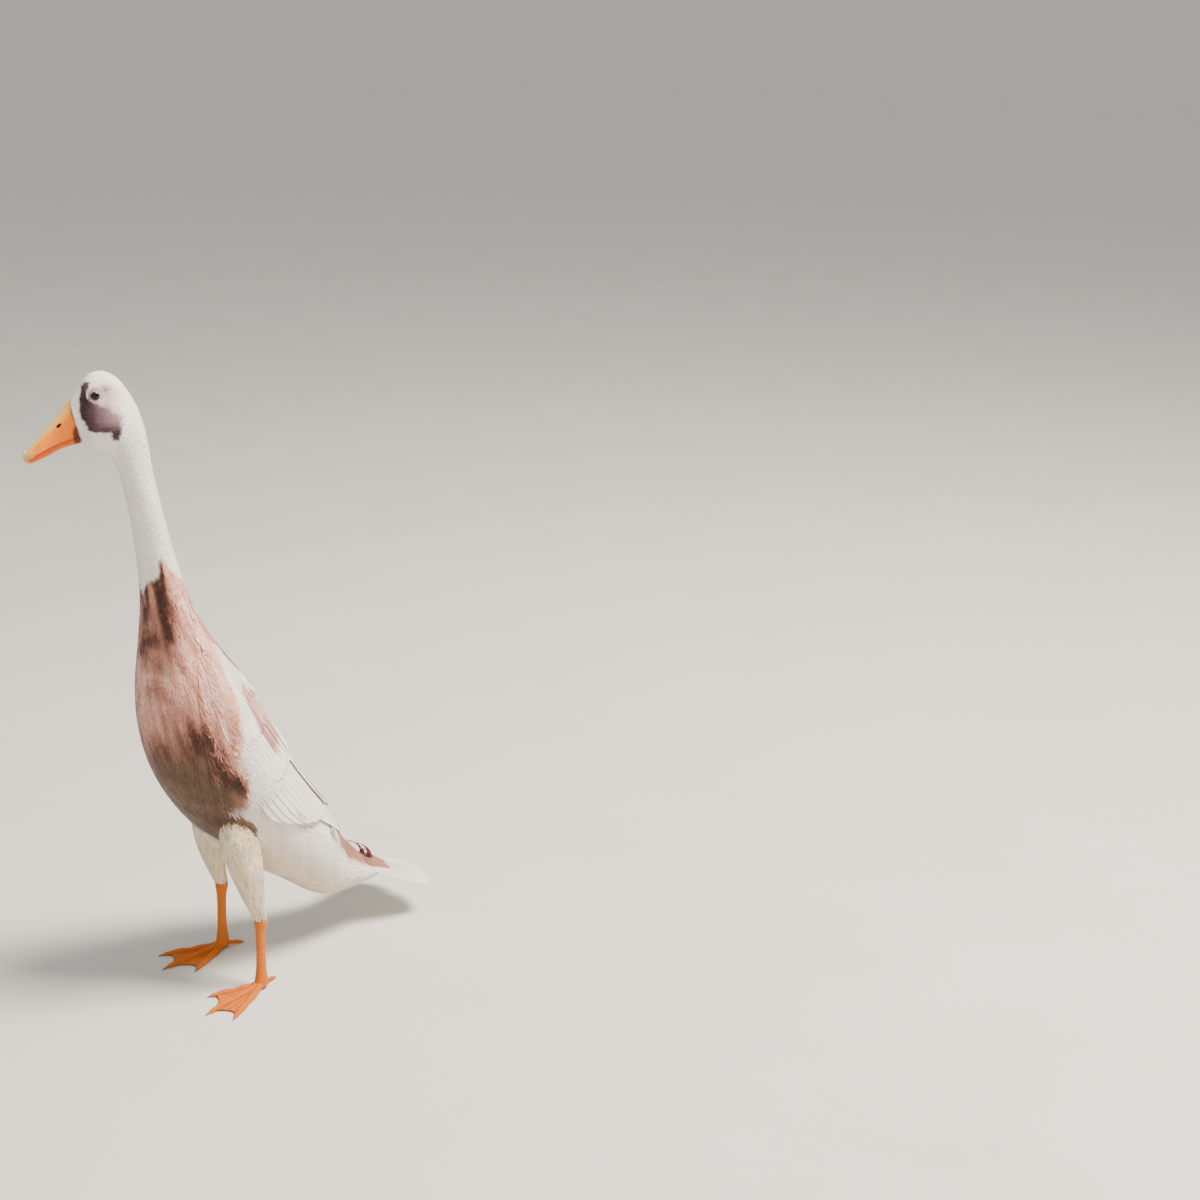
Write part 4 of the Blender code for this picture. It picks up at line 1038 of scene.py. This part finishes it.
# bare skin, dull and soft, with wrinkles about 0.4 mm apart
lid_finish, nodes, shader = new_material("bare lid skin", Roughness=0.5)
wrinkles = add(nodes, "ShaderNodeTexVoronoi", {"Scale": 2600.0})
ends = {"To Min": 1.05, "To Max": 0.75}
shade = add(nodes, "ShaderNodeMapRange", {"Value": wrinkles.outputs["Distance"], **ends})
colour_and_relief(nodes, shader, shade.outputs["Result"], 0.5, 0.00015, wrinkles.outputs["Distance"])
LID_RINGS, LID_SIDES = 26, 120
LID_REACH = [0.295, 0.66]  # radius of the lids' rim and of their outer edge under the feathers, in cm
cheek_at, cheek_turn = np.meshgrid(np.linspace(19.5, 25, 110), np.linspace(0.2, 2.6, 80))
cheek = plain_body(cheek_at, cheek_turn).reshape(-1, 3) / CM


def head_side(forward, height):
    """Half the head's width at a place of its plane, in cm."""
    away = np.hypot(forward[..., None] + cheek[:, 1], height[..., None] - cheek[:, 2])
    weight = 1 / (away + 0.02) ** 4
    return (weight * cheek[:, 0]).sum(-1) / weight.sum(-1)


for word, side in SIDES.items():
    centre = head_point(*EYE_AT, side * EYE_SIDE)
    outward = head_point(*EYE_AT, side * (EYE_SIDE + 1)) - centre
    outward /= np.linalg.norm(outward)
    up = np.array([0.0, 0.0, 1.0])
    ahead = np.cross(outward, up)
    polar, spin = ring_grid(math.pi, 40, 48)
    bulge = EYE_RADIUS * CM * (1 + 0.06 * np.exp(-((polar / 0.55) ** 4)))
    points = centre + bulge[..., None] * (
        np.cos(polar)[..., None] * outward
        + np.sin(polar)[..., None] * (np.cos(spin)[..., None] * ahead + np.sin(spin)[..., None] * up)
    )
    tints = blend(colour("#060404"), colour("#1C0E09"), (polar - 0.42) / 0.05)  # pupil, then iris
    tints = blend(tints, colour("#0C0807"), (polar - 0.85) / 0.1)
    eye = mesh_piece(f"eyeball_{word}", points, tube_faces(40, 48), eye_finish, tints)
    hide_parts(f"eye_{word}")
    ring, turn = ring_grid(1, LID_RINGS, LID_SIDES)
    reach = LID_REACH[0] + (LID_REACH[1] - LID_REACH[0]) * ring
    corner = 1 + (0.06 * np.exp(-((np.sin(turn) / 0.35) ** 2)) - 0.05) * (1 - ring)
    forward = EYE_AT[0] + reach * corner * np.cos(turn)
    height = EYE_AT[1] + 0.97 * reach * np.sin(turn)
    ball = EYE_SIDE + np.sqrt(np.maximum(EYE_RADIUS**2 - reach**2, 0.02))
    near = np.clip((0.54 - reach) / 0.18, 0, 1)
    beside = head_side(forward, height) - 0.04
    across = np.maximum(beside + (ball + 0.03 - beside) * smooth_step(near), ball + 0.03)
    fade = np.interp(reach, [0.35, 0.38, 0.45, 0.6], [0, 1, 0.6, 0])
    folds = 0.014 * np.cos((reach - 0.38) * 2 * math.pi / 0.062) * fade
    crows = 0.008 * np.sin(turn * 23 + 2 * np.sin(turn * 5)) * np.clip((reach - 0.39) / 0.05, 0, 1)
    rim = -0.05 * np.clip((0.315 - reach) / 0.02, 0, 1)
    lid = head_point(forward, height, side * (across + folds + crows + rim))
    under = head_point(forward, height, side * (across - 0.09))
    tints = blend(colour("#5E4347"), colour("#A98589"), (reach - 0.32) / 0.08)
    tints = blend(tints, colour("#D9C3C2"), (reach - 0.44) / 0.10)
    # painted light and shade: the wrinkles' crests are lighter and their hollows darker
    tints = tints * (1 + 2.5 * folds[..., None])
    points = np.concatenate([lid, under[::-1]])
    shell = tube_faces(2 * LID_RINGS, LID_SIDES, closed=False)
    last = (2 * LID_RINGS - 1) * LID_SIDES
    shell += [(last + k, last + (k + 1) % LID_SIDES, (k + 1) % LID_SIDES, k) for k in range(LID_SIDES)]
    made = mesh_piece(f"lid_{word}", points, shell, lid_finish, np.concatenate([tints, tints[::-1]]))

# Bill: two horny blades that meet along the mouth, in warm orange skin over bone, paler at the tip and its
# hard nail, with a painted highlight along the ridge and on top of the tip. Two slots near the ridge are the
# nostrils.
# horn over skin: a waxy, uneven gloss with a little light in it, pits 0.8 mm and creases 2.5 mm apart
bill_finish, nodes, shader = new_material(
    "bill horn", Roughness=0.42, Specular_IOR_Level=0.3, Subsurface_Weight=0.05, Subsurface_Scale=0.002
)
flow = add(nodes, "ShaderNodeTexNoise", {"Scale": 180.0, "Detail": 5.0, "Roughness": 0.6})
shade = add(nodes, "ShaderNodeMapRange", {"Value": flow.outputs["Fac"], "To Min": 0.82, "To Max": 1.12})
gloss = add(nodes, "ShaderNodeMapRange", {"Value": flow.outputs["Fac"], "To Min": 0.34, "To Max": 0.52})
nodes.id_data.links.new(gloss.outputs["Result"], shader.inputs["Roughness"])
pits = add(nodes, "ShaderNodeTexVoronoi", {"Scale": 1300.0})
fine = {"Scale": 420.0, "Detail": 5.0, "Roughness": 0.65, "Distortion": 1.5}
creases = add(nodes, "ShaderNodeTexNoise", fine)
both = {0: pits.outputs["Distance"], 1: 0.5, 2: creases.outputs["Fac"]}
height = add(nodes, "ShaderNodeMath", both, operation="MULTIPLY_ADD")
colour_and_relief(nodes, shader, shade.outputs["Result"], 0.45, 0.0003, height.outputs[0])
BILL = [  # ridge, mouth and jaw lines as forward and height, then half width, in cm
    (11.03, 53.15, 10.48, 50.50, 10.38, 49.80, 1.16),
    (11.60, 52.50, 11.30, 50.22, 11.20, 49.62, 1.08),
    (12.20, 51.80, 12.15, 49.95, 12.05, 49.36, 1.05),
    (12.85, 51.10, 12.95, 49.62, 12.82, 48.98, 1.12),
    (13.50, 50.42, 13.65, 49.30, 13.48, 48.70, 1.24),
    (14.10, 49.82, 14.20, 48.98, 14.00, 48.50, 1.22),
    (14.52, 49.40, 14.55, 48.78, 14.38, 48.42, 0.95),
    (14.78, 49.08, 14.80, 48.66, 14.64, 48.42, 0.50),
]
NOSTRIL = (11.95, 51.35)
# the pale colour is the tip's own pale horn, and also a painted highlight along the ridge and on top of the
# tip
BILL_ORANGE, BILL_DEEP, BILL_PALE_AND_SHINE = colour("#EC7C00"), colour("#DA5C00"), colour("#FFDE7C")
GAPE = colour("#4E1C02")


def bill_blade(first, width_share, arch, rows=150, dome=84, flat=30):
    """Rings of a blade, domed outwards and flat along the mouth, with shares along and up it."""
    values = spline(BILL, np.linspace(0, len(BILL) - 1, rows))
    angle = np.linspace(0, math.pi, dome)
    across = np.concatenate([np.cos(angle), np.linspace(-1, 1, flat + 2)[1:-1]])
    up = np.concatenate([np.sin(angle) ** arch, np.zeros(flat)])
    outer, mouth = values[:, first : first + 2], values[:, 2:4]
    blunt = np.sqrt(1 - 0.985 * np.clip((np.linspace(0, 1, rows)[:, None] - 0.93) / 0.07, 0, 1) ** 2.4)
    line = mouth[:, None] + (outer - mouth)[:, None] * (up * blunt)[..., None]
    side = values[:, 6:] * width_share * across * blunt
    along = np.broadcast_to(np.linspace(0, 1, rows)[:, None], side.shape)
    return line[..., 0], line[..., 1], side, along, np.broadcast_to(up, side.shape)


forward, height, side, along, up = bill_blade(0, 1.0, 0.8)
away = np.stack([forward - NOSTRIL[0], height - NOSTRIL[1]], -1)
slope = math.radians(-40)
long_way = away @ np.array([math.cos(slope), math.sin(slope)])
high_way = away @ np.array([-math.sin(slope), math.cos(slope)])
spot = np.sqrt((long_way / 0.25) ** 2 + (high_way / 0.095) ** 2)
hole = np.clip((1.15 - spot) / 0.35, 0, 1) * (up > 0.05)
rim = np.exp(-(((spot - 1.45) / 0.35) ** 2)) * (up > 0.05)
nail = np.exp(-((side / 0.42) ** 4) - ((along - 0.965) / 0.075) ** 4) * np.clip((up - 0.4) / 0.3, 0, 1)
lip = np.exp(-((up / 0.07) ** 2)) * (np.abs(side) > 0.3)
comb = 0.012 * np.sin(along * 260) * np.exp(-(((up - 0.03) / 0.05) ** 2)) * (along > 0.12) * (along < 0.85)
side = side * (1 - 0.22 * hole + 0.035 * rim + 0.03 * lip + comb)
forward, height = forward + 0.05 * nail, height + 0.06 * nail
points = head_point(forward, height, side)
# painted highlight: the upper blade's top is made pale along the ridge
ridge = np.clip((up - 0.60) / 0.34, 0, 1) * np.interp(along, [0, 0.15, 1], [0.45, 0.9, 1])
tints = blend(BILL_ORANGE, BILL_PALE_AND_SHINE, 0.8 * ridge)
deep = np.interp(along, [0, 0.45], [1, 0]) * np.interp(up, [0.15, 0.9], [1, 0])
tints = blend(tints, BILL_DEEP, 0.75 * deep)
# the tip is paler, and paler still on top: the horn's own pale tip with a painted highlight over it
tints = blend(tints, BILL_PALE_AND_SHINE, np.clip((along - 0.6) / 0.26, 0, 1) * np.interp(up, [0, 0.5], [0.5, 0.97]))
tints = blend(tints, colour("#F2E2C0"), 0.8 * nail)
corner = np.hypot(along / 0.075, (up - 0.02) / 0.30)
tints = blend(tints, GAPE, 0.95 * np.clip((1.15 - corner) / 0.3, 0, 1))
# painted shade: the nostril's slot is painted dark inside
tints = blend(tints, colour("#3A1B10"), hole)
upper = mesh_piece("bill_upper_horn", points, tube_faces(*points.shape[:2]), bill_finish, tints)
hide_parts("bill_upper")
forward, height, side, along, up = bill_blade(4, 0.86, 0.7)
points = head_point(forward, height - 0.03, side)
tints = blend(BILL_DEEP, BILL_PALE_AND_SHINE, np.clip((along - 0.75) / 0.2, 0, 1) * 0.8)
tints = blend(tints, BILL_ORANGE, np.clip(up, 0, 1) * 0.5 * (along < 0.75))
tints = blend(tints, GAPE, 0.9 * np.clip((1.1 - along / 0.085) / 0.35, 0, 1))
lower = mesh_piece("bill_lower_horn", points, tube_faces(*points.shape[:2]), bill_finish, tints)
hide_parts("bill_lower")

# Shanks and feet: orange scaly skin over bone and sinew, with broad plates down the front of the
# shank and along the top of each toe, fine scales elsewhere, and thin webs between the three front
# toes. The claws are short, blunt and dark.
# dry scales about 1 mm wide with darker seams sunk between them, slightly waxy
leg_finish, nodes, shader = new_material(
    "leg scales", Roughness=0.45, Specular_IOR_Level=0.3, Subsurface_Weight=0.05, Subsurface_Scale=0.002
)
scales = add(nodes, "ShaderNodeTexVoronoi", {"Scale": 950.0, "Randomness": 0.75}, feature="DISTANCE_TO_EDGE")
ends = {"From Max": 0.12, "To Min": 0.6, "To Max": 1.0}
seams = add(nodes, "ShaderNodeMapRange", {"Value": scales.outputs["Distance"], **ends})
tone = add(nodes, "ShaderNodeTexNoise", {"Scale": 160.0, "Detail": 4.0})
shade = add(nodes, "ShaderNodeMapRange", {"Value": tone.outputs["Fac"], "To Min": 0.75, "To Max": 1.15})
both = {0: seams.outputs["Result"], 1: shade.outputs["Result"]}
both = add(nodes, "ShaderNodeMath", both, operation="MULTIPLY")
colour_and_relief(nodes, shader, both.outputs["Value"], 0.6, 0.0003, seams.outputs["Result"])
# harder, smoother horn, brown with paler streaks about 1.5 mm apart
claw_finish, nodes, shader = new_material("claw horn", Roughness=0.35, IOR=1.54)
streak = add(nodes, "ShaderNodeTexNoise", {"Scale": 700.0, "Detail": 3.0})
ramp = add(nodes, "ShaderNodeMix", {0: streak.outputs["Fac"]}, data_type="RGBA")
ramp.inputs[6].default_value = (*colour("#4A382B"), 1)
ramp.inputs[7].default_value = (*colour("#9A7B58"), 1)
nodes.id_data.links.new(ramp.outputs[2], shader.inputs["Base Color"])
LEG_ORANGE, LEG_SEAM = colour("#D8720A"), colour("#9A4508")
SHANK = [  # from the toes up
    (-0.30, 1.25, 4.25, 0.55, 0.46),
    (-0.34, 2.1, 4.25, 0.46, 0.38),
    (-0.42, 3.8, 4.25, 0.42, 0.34),
    (-0.52, 5.4, 4.25, 0.47, 0.38),
    (-0.60, 6.2, 4.25, 0.60, 0.50),
    (-0.58, 6.75, 4.25, 0.60, 0.50),
]
ANKLE = [(-0.15, 0.30, 4.25, 0.66, 0.52), (-0.25, 0.85, 4.25, 0.62, 0.50), (-0.30, 1.27, 4.25, 0.55, 0.46)]
TOES = {  # angle outwards in degrees, length and half thickness at the root in cm
    "middle": (4, 6.3, 0.36),
    "outer": (29, 5.9, 0.34),
    "inner": (-24, 4.9, 0.33),
    "hind": (196, 2.0, 0.22),
}
FOOT_AT = (-0.30, 4.25)
WEB_THICKNESS, WEB_REACH = 0.16, 0.86


def toe_line(name, side, share):
    """The middle of a toe on the ground, how far up it is, its half thickness, in cm, and its way."""
    angle, length, thick = TOES[name]
    ahead, outward = math.cos(math.radians(angle)), math.sin(math.radians(angle))
    forward = FOOT_AT[0] + STEP[side] + share * length * ahead
    across = FOOT_AT[1] + share * length * outward
    knuckles = 1 + 0.10 * np.cos(share * 6 * math.pi) * (share < 0.85)
    half = thick * (1 - 0.35 * share) * knuckles * np.interp(share, [0.78, 0.93], [1, 0.68])
    arch = 0.38 * np.maximum(0, 1 - share / 0.3) ** 1.5
    lift = (0.35 if name == "hind" else 0.0) * (1 - share)
    return forward, across, half * 0.72 + arch + lift, half, (ahead, outward)


def joined(parts):
    """The points, faces and tints of several shapes as those of one mesh."""
    points = np.concatenate([shape.reshape(-1, 3) for shape, _, _ in parts])
    tints = np.concatenate([np.broadcast_to(tint, shape.shape).reshape(-1, 3) for shape, _, tint in parts])
    faces, start = [], 0
    for shape, own, _ in parts:
        faces += [tuple(k + start for k in face) for face in own]
        start += shape.size // 3
    return points, faces, tints


for word, side in SIDES.items():
    shank = limb(SHANK, side)
    at, turn = ring_grid(5, 130, 48)
    rounds = np.abs(np.sin(at * 11.5 * math.pi / 5 * 2))
    front = np.clip(np.sin(turn), 0, 1) ** 0.5
    plate = front * np.clip(rounds / 0.35, 0, 1)
    points = shank(at, turn, (0.35 * plate - 0.1) * MM)
    tints = blend(LEG_ORANGE, LEG_SEAM, front * (1 - np.clip(rounds / 0.3, 0, 1)) * 0.7)
    made = mesh_piece(f"shank_scales_{word}", points, tube_faces(130, 48), leg_finish, tints)
    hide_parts(f"shank_{word}")

    parts = [(limb(ANKLE, side)(*ring_grid(2, 24, 48)), tube_faces(24, 48), LEG_ORANGE)]
    for name in TOES:
        share = np.linspace(0, 0.93, 110)
        *line, way = toe_line(name, side, share)
        forward, across, centre, half = (values[:, None] for values in line)
        around = np.linspace(0, 2 * math.pi, 28, endpoint=False) + math.pi / 28
        bands = np.abs(np.sin(share * TOES[name][1] * math.pi / 0.24))[:, None]
        top = np.clip(np.sin(around), 0, 1)
        blunt = np.sqrt(np.clip((0.935 - share) / 0.05, 0.02, 1))[:, None]
        size = half * blunt * (1 + 0.07 * top * np.clip(bands / 0.4, 0, 1))
        height = np.maximum(centre + size * np.sin(around), 0.0)
        sideways = size * np.cos(around)
        points = CM * to_world(forward - sideways * way[1], height, side * (across + sideways * way[0]))
        tints = blend(LEG_ORANGE, LEG_SEAM, top * (1 - np.clip(bands / 0.35, 0, 1)) * 0.7)
        parts.append((points, tube_faces(110, 28), tints))
    for first, second in (("inner", "middle"), ("middle", "outer")):
        rows, columns = 60, 40
        step = np.linspace(0.06, WEB_REACH, rows)[:, None]
        share = np.linspace(0, 1, columns)[None]
        (ahead, out), (far_ahead, far_out) = (toe_line(name, side, step)[:2] for name in (first, second))
        sag = 0.55 * np.sin(math.pi * share) * (step / WEB_REACH) ** 3
        forward = ahead + (far_ahead - ahead) * share - sag
        across = out + (far_out - out) * share
        fold = 0.035 * np.sin(share * math.pi * 7 + 3 * step) * np.sin(math.pi * share)
        rise = 0.10 + 0.35 * (1 - step) ** 4
        top = CM * to_world(forward, rise + WEB_THICKNESS * 0.75 + fold, side * across)
        under = CM * to_world(forward, rise + 0.02 + fold, side * across)
        points = np.concatenate([top, under[:, ::-1]], 1)
        tints = blend(LEG_ORANGE, LEG_SEAM, 0.15 + 0.15 * drift(points, 0.006, 5))
        parts.append((points, tube_faces(rows, columns * 2), tints))
    points, faces, tints = joined(parts)
    foot = mesh_piece(f"foot_scales_{word}", points, faces, leg_finish, tints)
    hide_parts(f"foot_{word}")
    parts = []
    for name in TOES:
        share = np.linspace(0.86, 1.0, 24)
        *line, way = toe_line(name, side, share)
        forward, across, centre, half = (values[:, None] for values in line)
        around = np.linspace(0, 2 * math.pi, 16, endpoint=False) + math.pi / 16
        run = ((share - 0.86) / 0.14)[:, None]
        size = half * 0.8 * np.sqrt(np.clip(1 - run, 0.004, 1)) * (1 + 0.15 * run)
        height = np.maximum(half * (0.80 - 0.5 * run**2) + size * np.sin(around), 0.0)
        sideways = size * np.cos(around)
        points = CM * to_world(forward - sideways * way[1], height, side * (across + 0.8 * sideways * way[0]))
        parts.append((points, tube_faces(24, 16), LEG_SEAM))
    claws = mesh_piece(f"claws_{word}", *joined(parts)[:2], claw_finish)

# Floor, lights and camera: a plain pale studio floor that runs out of the picture, soft light from
# a large lamp behind the bird's left side and a weaker one in front, and a camera that stands to
# the bird's front left, a little above its head.
# uncoated paper: matt and even, with fibres about 3 mm long, coarser than real so that they show
floor_finish, nodes, shader = new_material("pale paper", Roughness=0.9)
fibre = add(nodes, "ShaderNodeTexNoise", {"Scale": 300.0, "Detail": 3.0})
shade = add(nodes, "ShaderNodeMix", {0: fibre.outputs["Fac"]}, data_type="RGBA")
shade.inputs[6].default_value = (*colour("#CBCAC6"), 1)
shade.inputs[7].default_value = (*colour("#D4D3D0"), 1)
nodes.id_data.links.new(shade.outputs[2], shader.inputs["Base Color"])
mesh = bpy.data.meshes.new("floor")
mesh.from_pydata([(-20, -20, 0), (20, -20, 0), (20, 20, 0), (-20, 20, 0)], [], [(0, 1, 2, 3)])
mesh.materials.append(floor_finish)
floor = bpy.data.objects.new("floor", mesh)
bpy.context.scene.collection.objects.link(floor)

world = bpy.data.worlds.new("studio")
world.use_nodes = True
nodes = world.node_tree.nodes
# the sky is paler overhead, so that it and the far floor it lights look the same where they meet
sky = add(nodes, "ShaderNodeTexCoord")
level = add(nodes, "ShaderNodeSeparateXYZ", {"Vector": sky.outputs["Generated"]})
bright = add(nodes, "ShaderNodeMapRange", {"Value": level.outputs["Z"], "To Min": 0.545, "To Max": 1.0})
background = nodes["Background"]
background.inputs["Color"].default_value = (*colour("#EDEAE5"), 1)
nodes.id_data.links.new(bright.outputs["Result"], background.inputs["Strength"])
bpy.context.scene.world = world


def lamp(name, where, aim, size, watts, code):
    data = bpy.data.lights.new(name, "AREA")
    data.size, data.energy, data.color = size, watts, tuple(colour(code))
    made = bpy.data.objects.new(name, data)
    made.location = Vector(where)
    made.rotation_euler = (Vector(aim) - Vector(where)).to_track_quat("-Z", "Y").to_euler()
    bpy.context.scene.collection.objects.link(made)


lamp("key", (1.1, 0.8, 2.5), (0, 0, 0.3), 0.9, 220, "#FFF2E2")
lamp("fill", (1.8, -2.0, 1.2), (0, 0, 0.3), 1.6, 13, "#F2F5FF")

AZIMUTH, DISTANCE, HEIGHT = math.radians(57), 1.4593407, 0.8087912
PITCH, ASIDE = math.radians(17.905124), math.radians(12.867951)
camera_data = bpy.data.cameras.new("camera")
camera_data.sensor_width, camera_data.lens = 36.0, 53.25
camera = bpy.data.objects.new("camera", camera_data)
stand = np.array([DISTANCE * math.sin(AZIMUTH), -DISTANCE * math.cos(AZIMUTH), HEIGHT]) + PLACE
camera.location = Vector(stand)
camera.rotation_euler = (math.pi / 2 - PITCH, 0, AZIMUTH - ASIDE)
bpy.context.scene.collection.objects.link(camera)
bpy.context.scene.camera = camera
